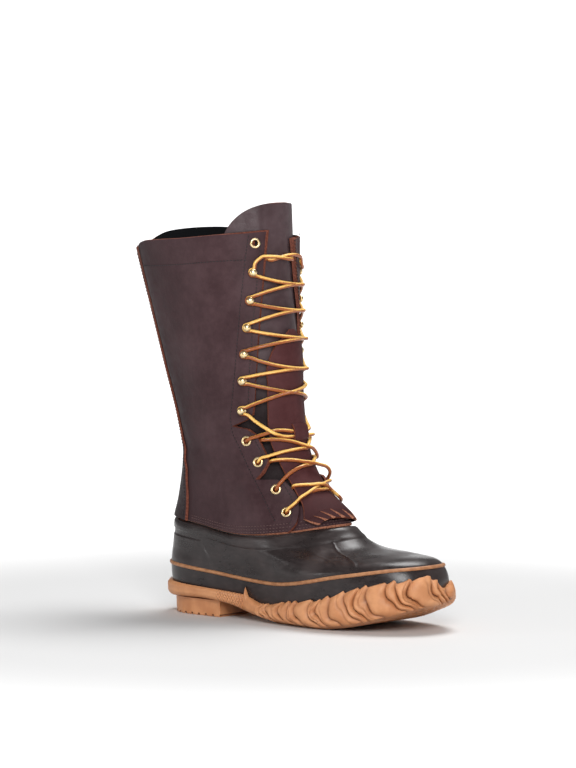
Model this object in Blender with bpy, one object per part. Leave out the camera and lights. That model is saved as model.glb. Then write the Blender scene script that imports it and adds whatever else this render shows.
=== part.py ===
"""Pac boot for the right foot: rubber bottom, laced leather shaft and a chain-tread sole.

Every curved piece is cut from one surface, the outside of the boot. A point on it has an
angle around the foot (0 at the heel, 180 at the toe, outer side first) and a level, which
counts the rows of LEVELS from the feather line to above the collar.
"""
import math

import bmesh
import bpy
import numpy as np
from mathutils import Matrix, Vector

MM = 0.001

# Driving sizes in millimetres
LEATHER = 2.2
RUBBER = 3.0
FLANGE = 1.4
GAP = 0.35
OVERLAY_GAP = 0.8
FLANGE_GAP = 0.8
INSOLE_GAP = 0.6
BACKSTAY_THICK = 1.4
STRIP_DEPTH = 0.3
STRIP_THICK = 1.7
RAND = 4.4
RAND_LIP = 2.4
RIB_DEPTH = 1.8
RIB_RISE = 3.0
INSOLE = 4.0
HEEL_HEIGHT = 15.7
HEEL_FRONT = 80.0
HEEL_INSET = 8.5
GROOVE_WIDTH = 2.2
GROOVE_DEPTH = 2.0
GROOVES = 8
LACE = 3.3
EYELET_HOLE = 2.9
HOLE_DEPTH = 4 * LEATHER

# Columns of the upper and of the rubber, counted around one side, and of the smaller sheets
UPPER_COLUMNS = 11
FRONT_COLUMNS = 4
RUBBER_COLUMNS = 22
COLUMN_CROWDING = 0.2
BACKSTAY_COLUMNS = 9
STRIP_COLUMNS = 11
TONGUE_COLUMNS = 13
TONGUE_ROWS = 13
SHARP_ANGLE = 40.0

FEATHER, RAND_TOP = 0.0, 1.0

# Shares of a level's length at which its heights and half widths are given
HEIGHT_SHARES = np.array([0.0, 0.25, 0.5, 0.75, 1.0])
WIDTH_SHARES = np.array([0.16, 0.42, 0.68, 0.90])

# One row for each feature line: heights from back to front, ends of the row, radius of the
# heel end, half widths, radius of the toe end, and the toe's swing to the inner side
# name        z_back z_heel z_mid z_ball z_front x_back x_front heel_r heel waist ball toe toe_r swing
LEVELS = [
    ("feather",   19,  19,  9.5,  12,   33,     5,   303,   34,   35,   38,   50,  37,  34,   8),
    ("rand",      31,  27, 23.5,  30,   46,     3,   306,   37,   38,   41,   54,  41,  38,   8),
    ("stripe",    44,  41, 38.5,  50,   58,     2,   301,   38,   39,   43,   56,  41,  38,   8),
    ("vamp_low",  52,  49,   46,  56, 65.5,     3,   290,   38,   39,   43,   55,  39,  36,   7),
    ("vamp_mid",  61,  58,   54,  62, 68.5,     4,   266,   37,   38,   43,   51,  35,  32,   6),
    ("vamp_high", 71,  67,   62,  66, 72.5,     5,   235,   36,   37,   42,   48,  31,  29,   4),
    ("band",      82,  77,   70,  72,   82,     6,   214,   35,   36,   42,   45,  28,  27,   2),
    ("leather",   91,  86,   80,  83,   92,     7,   203,   33,   35,   42,   44,  27,  26,   1),
    ("instep",   114, 111,  108, 111,  116,  12.5,   173,   28,   33,   41,   42,  26,  24,   0),
    ("ankle",    150, 150,  150, 152,  155,    16,   150,   24,   30,   40,   39,  25,  23,   0),
    ("calf_low", 185, 186,  188, 191,  195,     9,   143,   24,   31,   41,   40,  26,  24,   0),
    ("calf",     230, 232,  235, 239,  243,    -4,   140,   30,   35,   47,   46,  29,  28,   0),
    ("calf_top", 285, 287,  291, 296,  301, -19.5,   135,   36,   40,   53,   52,  33,  33,   0),
    ("collar",   341, 345,  350, 356,  361,   -37,   131,   40,   43,   58,   57,  36,  38,   0),
    ("tongue",   377, 381,  387, 392,  398,   -47,   129,   42,   45,   60,   59,  37,  39,   0),
]
ROWS = np.array([row[1:] for row in LEVELS], float)

# Front edges of the quarters, with two notches each: level, angle on the outer and inner side
THROAT = np.array([
    (7.00, 127.0, 127.0),
    (7.30, 136.0, 136.0),
    (7.65, 144.0, 144.0),
    (8.11, 151.0, 151.0),
    (8.46, 146.0, 146.0),
    (8.52, 123.5, 123.5),
    (8.91, 139.3, 139.3),
    (9.55, 131.0, 131.0),
    (9.74, 111.0, 111.0),
    (9.98, 131.5, 131.5),
    (10.65, 137.0, 138.0),
    (11.16, 142.0, 147.0),
    (12.15, 153.0, 165.5),
    (13.00, 162.0, 171.5),
])
SEAM_ANGLE = 103.0
UPPER_LEVELS = np.sort(np.append(THROAT[:, 0], [9.25, 10.30, 11.65]))

# Collar line, higher on the inner side: angle around, level; and where its slant begins
COLLAR = np.array([
    (-171.5, 12.83),
    (-150.0, 12.88),
    (-125.0, 12.94),
    (-105.0, 13.02),
    (-90.0, 13.12),
    (-70.0, 13.29),
    (-40.0, 13.36),
    (-20.0, 13.30),
    (0.0, 13.14),
    (27.0, 13.05),
    (55.0, 13.09),
    (75.0, 13.07),
    (95.0, 13.03),
    (120.0, 13.00),
    (162.0, 13.00),
])
COLLAR_BEND = 12.15

# Half angle of the backstay from the heel line: level, angle
BACKSTAY = np.array([
    (7.00, 50.0),
    (7.60, 51.0),
    (8.20, 50.0),
    (8.60, 45.0),
    (9.30, 36.0),
    (10.00, 31.0),
    (11.20, 31.0),
    (13.00, 38.0),
])
BACKSTAY_ROW_STEP = 0.1

# Leather strip across the vamp, and how far its ends stay behind the quarters' edges
STRIP_LEVELS = np.array([7.02, 7.30, 7.55, 7.80])
STRIP_END_ANGLE = 1.2

# Half angle of the loose kiltie from the toe line: level, angle
KILTIE = np.array([
    (7.40, 36.0),
    (7.70, 30.5),
    (8.14, 28.5),
    (8.79, 33.0),
    (9.26, 36.5),
    (9.62, 37.4),
    (10.04, 35.8),
    (10.44, 34.0),
    (10.98, 30.5),
    (11.21, 22.6),
    (11.46, 3.8),
])
KILTIE_THICK = 1.8
KILTIE_LIFT = np.array([
    (7.20, 5.0),
    (7.60, 5.0),
    (7.85, 4.3),
    (8.10, 2.8),
    (8.50, 1.0),
    (9.30, 0.5),
    (10.00, -0.3),
    (11.45, -0.6),
])
FRINGE_TEETH = 7
FRINGE_TIP = 7.16

# Half angle of the tongue from the toe line: level, angle
TONGUE = np.array([
    (7.68, 42.0),
    (8.20, 62.0),
    (8.90, 74.0),
    (10.20, 74.0),
    (11.00, 60.0),
    (13.00, 54.0),
])
TONGUE_THICK = 2.0
TONGUE_DEPTH = 3.6
TONGUE_TOP = 13.64
TONGUE_SHOULDER = 0.5
TONGUE_SHOULDER_ANGLE = 50.0
TONGUE_SHOULDER_POWER = 3.5

# Fastenings from the vamp up: kind, level, angle on the outer side, angle on the inner side
FASTENINGS = [
    ("eyelet", 7.68, 134.9, 225.1),
    ("eyelet", 8.27, 135.8, 224.2),
    ("eyelet", 8.87, 127.7, 232.3),
    ("eyelet", 9.37, 120.9, 239.1),
    ("hook", 10.07, 121.6, 238.4),
    ("hook", 10.65, 125.8, 236.0),
    ("hook", 11.12, 130.1, 234.5),
    ("hook", 11.54, 135.4, 233.5),
    ("hook", 11.95, 140.2, 233.0),
    ("hook", 12.36, 144.6, 233.0),
    ("eyelet", 12.79, 148.5, 229.0),
]
SIDES = ("lateral", "medial")
LACE_CLEAR = 8.5
LACE_LIFT = 2.6
LACE_MARGIN = 3.3
LACE_CLIMB = 10.0
LACE_SPACE = 1.7
LACE_POINTS = 8
LACE_SIDES = 5
LACE_STEP = 0.065
KNOT_RISE = 0.16

# Turned profiles, radius and height above the leather
EYELET_PROFILE = [(2.0, -2.5), (2.5, -2.5), (2.5, 0.4), (4.8, 0.4), (4.4, 1.2), (2.4, 1.3)]
HOOK_PROFILE = [
    (0.0, 0.45),
    (3.2, 0.45),
    (3.0, 1.3),
    (1.6, 1.7),
    (1.6, 4.3),
    (3.9, 5.0),
    (2.9, 7.0),
    (0.0, 7.7),
]
EYELET_SIDES = 7
HOOK_SIDES = 6

# Rubber bottom in section, up the outside and down the inside: level, offset from the surface
RUBBER_SECTION = [
    (0.00, 0.0),
    (1.00, 0.0),
    (1.80, 0.3),
    (1.87, 1.7),
    (2.10, 1.7),
    (2.17, 0.2),
    (3.00, 0.0),
    (4.00, 0.0),
    (5.00, 0.0),
    (5.88, 0.0),
    (6.00, 1.2),
    (6.60, 1.3),
    (6.92, 0.0),
    (6.95, -LEATHER - FLANGE_GAP),
    (7.60, -LEATHER - FLANGE_GAP),
    (7.60, -LEATHER - FLANGE_GAP - FLANGE),
    (6.90, -LEATHER - FLANGE_GAP - FLANGE),
    (6.00, -RUBBER),
    (5.00, -RUBBER),
    (4.00, -RUBBER),
    (3.00, -RUBBER),
    (2.00, -RUBBER),
    (1.00, -RUBBER),
    (0.00, -RUBBER),
]

# Underside of the sole: share of the length, height
UNDERSIDE = np.array([
    (0.00, 16.0),
    (0.26, 16.0),
    (0.34, 12.0),
    (0.42, 4.0),
    (0.48, 0.0),
    (0.68, 0.0),
    (0.82, 6.0),
    (0.92, 14.3),
    (1.00, 22.3),
])
RIB_START, RIB_FULL = 0.36, 0.44

# Rise of the sole's lower edge above its tread: share of the length, height
EDGE_RISE = np.array([
    (0.36, 0.0),
    (0.47, 3.4),
    (1.00, 3.4),
])
TREAD_INSET = 9.0

# Side of the sole: share of its height, share of the rand's thickness, share of the rib depth
SOLE_SIDE = [
    (0.00, 0.10, 0.0),
    (0.28, 0.85, 0.6),
    (0.62, 1.00, 1.0),
]

COLOURS = {
    "leather": ((0.055, 0.030, 0.030), 0.45, 0.0),
    "kiltie": ((0.070, 0.028, 0.026), 0.50, 0.0),
    "rubber": ((0.030, 0.026, 0.025), 0.40, 0.0),
    "gum": ((0.560, 0.270, 0.130), 0.55, 0.0),
    "brass": ((0.800, 0.680, 0.420), 0.25, 1.0),
    "cord": ((0.700, 0.400, 0.080), 0.60, 0.0),
    "felt": ((0.120, 0.110, 0.100), 0.90, 0.0),
}


def weights(knots, at):
    """Share of each knot in a smooth cubic curve through values given at the knots."""
    values = np.eye(len(knots))
    slope = np.gradient(values, knots, axis=0)
    i = np.clip(np.searchsorted(knots, at, side="right") - 1, 0, len(knots) - 2)
    span = (knots[i + 1] - knots[i])[:, None]
    t = (at - knots[i])[:, None] / span
    start = (2 * t + 1) * (t - 1) ** 2 * values[i] + t * (t - 1) ** 2 * span * slope[i]
    end = t ** 2 * (3 - 2 * t) * values[i + 1] + t ** 2 * (t - 1) * span * slope[i + 1]
    return start + end


def skin(around, level):
    """Point in millimetres on the outside of the boot; around is in degrees."""
    around, level = np.broadcast_arrays(np.asarray(around, float), np.asarray(level, float))
    angle = np.radians(around.ravel() % 360)
    row = weights(np.arange(len(ROWS), dtype=float), level.ravel()) @ ROWS
    heights, x_back, x_front = row[:, :5], row[:, 5], row[:, 6]
    heel_r, half_widths, toe_r, swing = row[:, 7:8], row[:, 8:12], row[:, 12:13], row[:, 13]
    share = (1 - np.cos(angle)) / 2
    length = x_front - x_back
    ends = np.sqrt(np.hstack([heel_r, toe_r]) * length[:, None] / 2)
    middle = half_widths / (2 * np.sqrt(WIDTH_SHARES * (1 - WIDTH_SHARES)))
    widths = np.hstack([ends[:, :1], middle, ends[:, 1:]])
    width = (weights(np.concatenate([[0], WIDTH_SHARES, [1]]), share) * widths).sum(axis=1)
    x = x_back + length * share
    y = -width * np.sin(angle) + swing * share ** 2
    z = (weights(HEIGHT_SHARES, share) * heights).sum(axis=1)
    return np.stack([x, y, z], -1).reshape(around.shape + (3,))


def normal(around, level):
    """Outward direction of the surface."""
    step_around, step_level = 0.5, 0.01
    across = skin(around + step_around, level) - skin(around - step_around, level)
    along = skin(around, level + step_level) - skin(around, level - step_level)
    out = np.cross(across, along)
    return out / np.linalg.norm(out, axis=-1, keepdims=True)


def raised(around, level, out):
    """Point at a distance out from the surface."""
    around, level, out = np.broadcast_arrays(*(np.asarray(v, float) for v in (around, level, out)))
    return skin(around, level) + normal(around, level) * out[..., None]


def table(rows, at):
    """Straight-line reading of a two-column table."""
    return np.interp(at, rows[:, 0], rows[:, 1])


def finish(slot):
    """Material of one slot."""
    if slot in bpy.data.materials:
        return bpy.data.materials[slot]
    colour, roughness, metallic = COLOURS[slot]
    material = bpy.data.materials.new(slot)
    material.use_nodes = True
    shader = material.node_tree.nodes["Principled BSDF"]
    shader.inputs["Base Color"].default_value = (*colour, 1.0)
    shader.inputs["Roughness"].default_value = roughness
    shader.inputs["Metallic"].default_value = metallic
    return material


def piece(name, points, faces, slot):
    """Closed solid from points in millimetres, with its faces turned outward."""
    mesh = bpy.data.meshes.new(name)
    mesh.from_pydata((np.asarray(points).reshape(-1, 3) * MM).tolist(), [], faces)
    form = bmesh.new()
    form.from_mesh(mesh)
    bmesh.ops.recalc_face_normals(form, faces=form.faces)
    form.to_mesh(mesh)
    form.free()
    mesh.materials.append(finish(slot))
    mesh.shade_smooth()
    mesh.set_sharp_from_angle(angle=math.radians(SHARP_ANGLE))
    thing = bpy.data.objects.new(name, mesh)
    bpy.context.collection.objects.link(thing)
    return thing


def cutter(thing):
    """Leave a helper out of the finished boot."""
    thing.hide_render = True
    thing.display_type = "WIRE"
    return thing


def combine(thing, helper, operation):
    """Cut a helper from a piece or fuse it on."""
    change = thing.modifiers.new(operation.lower(), "BOOLEAN")
    change.operation = operation
    change.solver = "EXACT"
    change.object = cutter(helper)


def grid_faces(rows, columns, start, loop_rows, loop_columns):
    """Quads of a grid whose rows or columns may close on themselves."""
    faces = []
    for r in range(rows if loop_rows else rows - 1):
        for c in range(columns if loop_columns else columns - 1):
            r2, c2 = (r + 1) % rows, (c + 1) % columns
            corners = (r * columns + c, r * columns + c2, r2 * columns + c2, r2 * columns + c)
            faces.append(tuple(start + corner for corner in corners))
    return faces


def sheet(name, outer, inner, slot):
    """Open sheet of leather with a thickness: two grids joined around their rim."""
    rows, columns = outer.shape[:2]
    count = rows * columns
    faces = grid_faces(rows, columns, 0, False, False) + grid_faces(rows, columns, count, False, False)
    rim = [(0, c) for c in range(columns)] + [(r, columns - 1) for r in range(1, rows)]
    rim += [(rows - 1, c) for c in range(columns - 2, -1, -1)] + [(r, 0) for r in range(rows - 2, 0, -1)]
    rim = [r * columns + c for r, c in rim]
    for a, b in zip(rim, rim[1:] + rim[:1]):
        faces.append((a, b, b + count, a + count))
    return piece(name, np.concatenate([outer.reshape(-1, 3), inner.reshape(-1, 3)]), faces, slot)


def ladder(columns, start):
    """Faces across a ring that runs heel, outer side, toe, inner side."""
    faces = []
    for c in range(columns // 2):
        corners = [c, c + 1, (columns - c - 1) % columns, (columns - c) % columns]
        faces.append(tuple(start + corner for corner in dict.fromkeys(corners)))
    return faces


def stacked(name, rings, slot):
    """Solid between a first and a last ring, through the rings in between."""
    columns = len(rings[0])
    faces = grid_faces(len(rings), columns, 0, False, True)
    faces += ladder(columns, 0) + ladder(columns, (len(rings) - 1) * columns)
    return piece(name, np.concatenate(rings), faces, slot)


def turned(name, profile, sides, place, slot):
    """Round piece: a profile turned about the direction that the leather faces at a place."""
    points, faces, rings = [], [], []
    for radius, height in profile:
        if radius == 0:
            rings.append([len(points)] * sides)
            points.append((0, 0, height))
            continue
        rings.append(list(range(len(points), len(points) + sides)))
        for k in range(sides):
            turn = 2 * math.pi * k / sides
            points.append((radius * math.cos(turn), radius * math.sin(turn), height))
    closed = profile[0][0] != 0
    pairs = list(zip(rings, rings[1:])) + ([(rings[-1], rings[0])] if closed else [])
    for low, high in pairs:
        for k in range(sides):
            k2 = (k + 1) % sides
            faces.append(tuple(dict.fromkeys((low[k], low[k2], high[k2], high[k]))))
    stand = Vector(normal(*place)).to_track_quat("Z", "Y").to_matrix()
    moved = np.asarray(points) @ np.array(stand).T + skin(*place)
    return piece(name, moved, faces, slot)


def tube(name, path, radius, sides, slot):
    """Plain cord along a path."""
    path = np.asarray(path)
    heading = np.gradient(path, axis=0)
    heading /= np.linalg.norm(heading, axis=1, keepdims=True)
    rings = []
    for point, ahead in zip(path, heading):
        side = np.cross(ahead, (0, 0, 1))
        side /= np.linalg.norm(side)
        up = np.cross(side, ahead)
        turns = np.arange(sides) * 2 * math.pi / sides
        rings.append(point + radius * (np.cos(turns)[:, None] * side + np.sin(turns)[:, None] * up))
    faces = grid_faces(len(path), sides, 0, False, True)
    last = (len(path) - 1) * sides
    faces += [tuple(range(sides)), tuple(range(last, last + sides))]
    return piece(name, np.concatenate(rings), faces, slot)


def ring_angles(per_side):
    """Angles once around, closer together along the sides of the foot."""
    even = np.arange(2 * per_side) * 180 / per_side
    return even + np.degrees(COLUMN_CROWDING * np.sin(np.radians(2 * even)))


def flatten_between(ring):
    """Put every second point midway between its neighbours, on the neighbouring piece's flats."""
    ring = ring.copy()
    ring[1::2] = (ring[0::2] + np.roll(ring[0::2], -1, axis=0)) / 2
    return ring


def build_rubber():
    around = ring_angles(RUBBER_COLUMNS)
    rings = np.array([raised(around, level, out) for level, out in RUBBER_SECTION])
    faces = grid_faces(len(rings), len(around), 0, True, True)
    return piece("rubber_bottom", rings, faces, "rubber")


def side_direction(around):
    """Level direction away from the foot."""
    out = normal(around, np.full_like(around, RAND_TOP))
    out[..., 2] = 0
    return out / np.linalg.norm(out, axis=-1, keepdims=True)


def build_outsole():
    around = ring_angles(RUBBER_COLUMNS * 2)
    share = (1 - np.cos(np.radians(around))) / 2
    rib = np.where(np.arange(len(around)) % 2, 1.0, 0.0)
    rib = rib * np.clip((share - RIB_START) / (RIB_FULL - RIB_START), 0, 1)
    edge = raised(around, RAND_TOP, 0.0)
    top = edge[:, 2] + RIB_RISE * rib
    out = side_direction(around)
    tread = edge - out * TREAD_INSET
    tread[:, 2] = table(UNDERSIDE, share)
    bottom = tread[:, 2] + table(EDGE_RISE, share)
    rings = [tread]
    for height, thick, depth in SOLE_SIDE:
        ring = edge + out * (RAND * thick + RIB_DEPTH * depth * (rib - 0.5))[:, None]
        ring[:, 2] = bottom + (top - bottom) * height
        rings.append(ring)
    lip = edge + out * RAND_LIP
    lip[:, 2] = top
    floor = flatten_between(raised(around, FEATHER, GAP))
    floor[:, 2] -= GAP
    rings += [lip, flatten_between(raised(around, RAND_TOP, GAP)), floor]
    return stacked("outsole", rings, "gum")


def build_insole():
    around = ring_angles(RUBBER_COLUMNS)
    low = raised(around, FEATHER, -RUBBER - INSOLE_GAP)
    low[:, 2] = skin(around, FEATHER)[:, 2]
    high = low.copy()
    high[:, 2] += INSOLE
    return stacked("insole", [low, high], "felt")


def build_heel():
    """Block under the heel with a straight breast and grooves across its tread."""
    around = ring_angles(RUBBER_COLUMNS)
    edge = raised(around, RAND_TOP, 0.0) + side_direction(around) * (RAND - HEEL_INSET)
    keep = (edge[:, 0] < HEEL_FRONT)
    outline = np.concatenate([edge[keep & (around > 180)], edge[keep & (around <= 180)]])
    corner = np.interp(HEEL_FRONT, outline[-2:, 0], outline[-2:, 1])
    outline = np.concatenate([[(HEEL_FRONT, -corner, 0)], outline, [(HEEL_FRONT, corner, 0)]])
    count = len(outline)
    points = np.concatenate([outline, outline])
    points[:count, 2] = 0
    points[count:, 2] = HEEL_HEIGHT
    faces = [tuple(range(count)), tuple(range(count, 2 * count))]
    for k in range(count):
        k2 = (k + 1) % count
        faces.append((k, k2, k2 + count, k + count))
    heel = piece("heel", points, faces, "gum")
    pitch = HEEL_FRONT / (GROOVES + 1)
    half_width = abs(outline[:, 1]).max() + GROOVE_WIDTH
    grooves = bmesh.new()
    for k in range(GROOVES):
        size = Matrix.Diagonal((GROOVE_WIDTH * MM, 2 * half_width * MM, 2 * GROOVE_DEPTH * MM, 1))
        spot = Matrix.Translation((pitch * (k + 1) * MM, 0, 0))
        bmesh.ops.create_cube(grooves, size=1.0, matrix=spot @ size)
    mesh = bpy.data.meshes.new("heel_grooves")
    grooves.to_mesh(mesh)
    grooves.free()
    helper = bpy.data.objects.new("heel_grooves", mesh)
    bpy.context.collection.objects.link(helper)
    combine(heel, helper, "DIFFERENCE")


def upper_columns(levels):
    """Angles of the upper from the outer front edge round the heel to the inner front edge."""
    back = np.broadcast_to(np.linspace(0, SEAM_ANGLE, UPPER_COLUMNS + 1), (len(levels), UPPER_COLUMNS + 1))
    halves = []
    for column in (1, 2):
        edge = table(THROAT[:, [0, column]], levels)[:, None]
        forward = SEAM_ANGLE + (edge - SEAM_ANGLE) * np.linspace(0, 1, FRONT_COLUMNS + 1)[1:]
        halves.append(np.concatenate([back, forward], axis=1))
    outer, inner = halves
    return np.concatenate([outer[:, ::-1], -inner[:, 1:]], axis=1)


def up_to_collar(around, levels):
    """Levels of a sheet's rows, the top ones stretched to the slant of the collar."""
    above = np.clip(levels[:, None] - COLLAR_BEND, 0, None)
    return levels[:, None] + above * (table(COLLAR, around) - THROAT[-1, 0]) / (THROAT[-1, 0] - COLLAR_BEND)


def build_upper():
    around = upper_columns(UPPER_LEVELS)
    rows = up_to_collar(around, UPPER_LEVELS)
    upper = sheet("upper", raised(around, rows, 0.0), raised(around, rows, -LEATHER), "leather")
    holes = bmesh.new()
    for kind, level, *angles in FASTENINGS:
        for angle in angles if kind == "eyelet" else ():
            place = (np.array(angle), np.array(level))
            stand = Vector(normal(*place)).to_track_quat("Z", "Y").to_matrix().to_4x4()
            spot = Matrix.Translation(Vector(skin(*place) * MM)) @ stand
            bmesh.ops.create_cone(holes, segments=EYELET_SIDES, radius1=EYELET_HOLE * MM, matrix=spot,
                                  radius2=EYELET_HOLE * MM, depth=HOLE_DEPTH * MM, cap_ends=True)
    mesh = bpy.data.meshes.new("eyelet_holes")
    holes.to_mesh(mesh)
    holes.free()
    helper = bpy.data.objects.new("eyelet_holes", mesh)
    bpy.context.collection.objects.link(helper)
    combine(upper, helper, "DIFFERENCE")


def build_backstay():
    apart = np.diff(UPPER_LEVELS, prepend=0.0) > BACKSTAY_ROW_STEP
    levels = UPPER_LEVELS[apart]
    around = table(BACKSTAY, levels)[:, None] * np.linspace(-1, 1, BACKSTAY_COLUMNS)
    rows = up_to_collar(around, levels)
    outer = raised(around, rows, OVERLAY_GAP + BACKSTAY_THICK)
    sheet("backstay", outer, raised(around, rows, OVERLAY_GAP), "leather")


def build_vamp_strip():
    """Leather across the front, between the two quarters."""
    half = 180 - table(THROAT, STRIP_LEVELS) - STRIP_END_ANGLE
    around = 180 + half[:, None] * np.linspace(-1, 1, STRIP_COLUMNS)
    rows = np.broadcast_to(STRIP_LEVELS[:, None], around.shape)
    outer = raised(around, rows, -STRIP_DEPTH)
    inner = raised(around, rows, -STRIP_DEPTH - STRIP_THICK)
    sheet("vamp_strip", outer, inner, "leather")


def build_tongue():
    across = np.linspace(-1, 1, TONGUE_COLUMNS)
    up = np.linspace(0, 1, TONGUE_ROWS)
    start = TONGUE[0, 0]
    half = table(TONGUE, start + up * (TONGUE_TOP - start))[:, None]
    around = 180 + half * across
    drop = TONGUE_SHOULDER * np.abs(around / TONGUE_SHOULDER_ANGLE - 180 / TONGUE_SHOULDER_ANGLE)
    top = TONGUE_TOP - drop ** TONGUE_SHOULDER_POWER / TONGUE_SHOULDER ** (TONGUE_SHOULDER_POWER - 1)
    level = start + up[:, None] * (top - start)
    outer = raised(around, level, -TONGUE_DEPTH)
    inner = raised(around, level, -TONGUE_DEPTH - TONGUE_THICK)
    sheet("tongue", outer, inner, "leather")


def build_kiltie():
    """Loose leather flap over the tongue, with a fringe along its lower edge."""
    teeth = 2 * FRINGE_TEETH + 1
    across = np.linspace(-1, 1, teeth)
    level = np.repeat(KILTIE[:, :1], teeth, axis=1)
    level[0, 1::2] = FRINGE_TIP
    around = 180 + KILTIE[:, 1:] * across
    lift = table(KILTIE_LIFT, level)
    sheet("kiltie", raised(around, level, lift + KILTIE_THICK), raised(around, level, lift), "kiltie")


def build_fastenings():
    counts = {"eyelet": 0, "hook": 0}
    for kind, level, *angles in FASTENINGS:
        counts[kind] += 1
        for side, angle in zip(SIDES, angles):
            name = f"{kind}_{side}_{counts[kind]}"
            place = (np.array(angle), np.array(level))
            if kind == "eyelet":
                turned(name, EYELET_PROFILE, EYELET_SIDES, place, "brass")
            else:
                turned(name, HOOK_PROFILE, HOOK_SIDES, place, "brass")


def over_kiltie(around, level):
    """Points of a lace that lies on the quarters and climbs over the kiltie."""
    off_edge = np.abs(around - 180) - table(KILTIE, level) - LACE_MARGIN
    on_quarter = np.clip(off_edge / LACE_CLIMB, 0, 1)
    on_kiltie = table(KILTIE_LIFT, level) + KILTIE_THICK + LACE / 2 + LACE_SPACE
    return raised(around, level, on_kiltie + (LACE_LIFT - on_kiltie) * on_quarter)


def strand(outer_angle, outer_level, inner_angle, inner_level):
    """Taut run of lace from the outer side to the inner side, clear of both fastenings."""
    around = np.linspace(outer_angle + LACE_CLEAR, inner_angle - LACE_CLEAR, LACE_POINTS)
    return around, np.linspace(outer_level, inner_level, LACE_POINTS)


def build_lace():
    laced = FASTENINGS[:-1]
    for k, (low, high) in enumerate(zip(laced, laced[1:]), start=1):
        start, end = low[1] + LACE_STEP, high[1] - LACE_STEP
        rising = over_kiltie(*strand(low[2], start, high[3], end))
        falling = over_kiltie(*strand(high[2], end, low[3], start))
        one = tube(f"lace_{k}", rising, LACE / 2, LACE_SIDES, "cord")
        other = tube(f"lace_{k}_return", falling, LACE / 2, LACE_SIDES, "cord")
        combine(one, other, "UNION")
    _, top, *angles = laced[-1]
    around, level = strand(angles[0], top + LACE_STEP, angles[1], top + LACE_STEP)
    level = level + KNOT_RISE * np.sin(np.linspace(0, math.pi, LACE_POINTS))
    tube("lace_knot", over_kiltie(around, level), LACE / 2, LACE_SIDES, "cord")


def stand_on_origin():
    """Put the middle of the boot's box over the origin, with the tread on the floor."""
    pieces = [thing for thing in bpy.data.objects if not thing.hide_render]
    corners = np.array([vertex.co for thing in pieces for vertex in thing.data.vertices])
    low, high = corners.min(axis=0), corners.max(axis=0)
    middle = Vector(((low[0] + high[0]) / 2, (low[1] + high[1]) / 2, low[2]))
    for thing in bpy.data.objects:
        thing.location -= middle


def main():
    for thing in list(bpy.data.objects):
        bpy.data.objects.remove(thing, do_unlink=True)
    build_outsole()
    build_heel()
    build_insole()
    build_rubber()
    build_upper()
    build_backstay()
    build_vamp_strip()
    build_tongue()
    build_kiltie()
    build_fastenings()
    build_lace()
    stand_on_origin()


main()
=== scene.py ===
# %% [markdown]
# # Dressing a pac boot
# A pac is a cold-weather boot in two halves: a rubber bottom that keeps water out and a laced
# leather shaft sewn into it. The plain solids of the boot are already built. In this lesson each
# of them gets its real surface: raw leather edges, seams, moulded ridges, a scalloped gum sole
# and a waxed lace that runs up through the eyelets and round the hooks.

# %% Load the frame
import math

import bpy
import numpy as np
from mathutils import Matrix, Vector


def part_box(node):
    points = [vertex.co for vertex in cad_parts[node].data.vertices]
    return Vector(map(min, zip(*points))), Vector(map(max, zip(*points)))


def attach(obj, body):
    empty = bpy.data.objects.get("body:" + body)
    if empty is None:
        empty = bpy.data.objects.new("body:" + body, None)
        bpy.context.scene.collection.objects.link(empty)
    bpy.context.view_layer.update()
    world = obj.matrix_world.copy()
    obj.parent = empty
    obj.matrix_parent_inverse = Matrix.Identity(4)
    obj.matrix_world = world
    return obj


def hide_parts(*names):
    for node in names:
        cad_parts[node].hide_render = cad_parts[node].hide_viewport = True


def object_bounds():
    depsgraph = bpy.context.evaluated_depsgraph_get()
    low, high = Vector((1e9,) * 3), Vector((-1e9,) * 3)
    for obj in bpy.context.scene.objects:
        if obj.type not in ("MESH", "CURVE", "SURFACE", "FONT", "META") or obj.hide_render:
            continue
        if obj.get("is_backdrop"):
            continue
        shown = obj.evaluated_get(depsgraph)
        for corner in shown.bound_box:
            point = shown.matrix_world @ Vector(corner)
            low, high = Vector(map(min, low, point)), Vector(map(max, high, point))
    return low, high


MM = 0.001
HEEL_FRONT = 80.0

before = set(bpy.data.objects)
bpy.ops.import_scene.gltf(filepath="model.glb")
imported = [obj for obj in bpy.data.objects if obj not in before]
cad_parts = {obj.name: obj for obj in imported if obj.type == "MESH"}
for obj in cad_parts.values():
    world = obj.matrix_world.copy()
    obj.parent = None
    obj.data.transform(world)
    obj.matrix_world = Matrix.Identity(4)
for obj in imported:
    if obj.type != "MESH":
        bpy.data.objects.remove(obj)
scene = bpy.context.scene
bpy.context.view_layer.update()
tongue_low, tongue_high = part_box("tongue")
MIDDLE_X = HEEL_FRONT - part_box("heel")[1].x / MM
MIDDLE_Y = -(tongue_low.y + tongue_high.y) / 2 / MM
ORIGIN = np.array([MIDDLE_X, MIDDLE_Y, 0.0])


def place(points):
    """Points in the boot's own millimetres, as metres in the frame."""
    return (np.asarray(points, float) - ORIGIN) * MM


print("boot's own origin sits at", place((0, 0, 0)).round(4))

# %% [markdown]
# ## The camera
# The boot is seen from its outer side and a little from the front. A long lens four metres away
# keeps the shaft from leaning, as a catalogue picture would.

# %% Camera
AIM = np.array([133.5, 0.0, 217.8])
AZIMUTH, ELEVATION = math.radians(40), math.radians(4)
DISTANCE = 4000.0
LENS = 203.1

away = np.array([
    math.sin(AZIMUTH) * math.cos(ELEVATION),
    -math.cos(AZIMUTH) * math.cos(ELEVATION),
    math.sin(ELEVATION),
])
camera = bpy.data.objects.new("camera", bpy.data.cameras.new("camera"))
camera.data.lens = LENS
camera.location = place(AIM + away * DISTANCE)
camera.rotation_euler = Vector(away).to_track_quat("Z", "Y").to_euler()
scene.collection.objects.link(camera)
scene.camera = camera
print("camera stands at", [round(value, 3) for value in camera.location])

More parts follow.
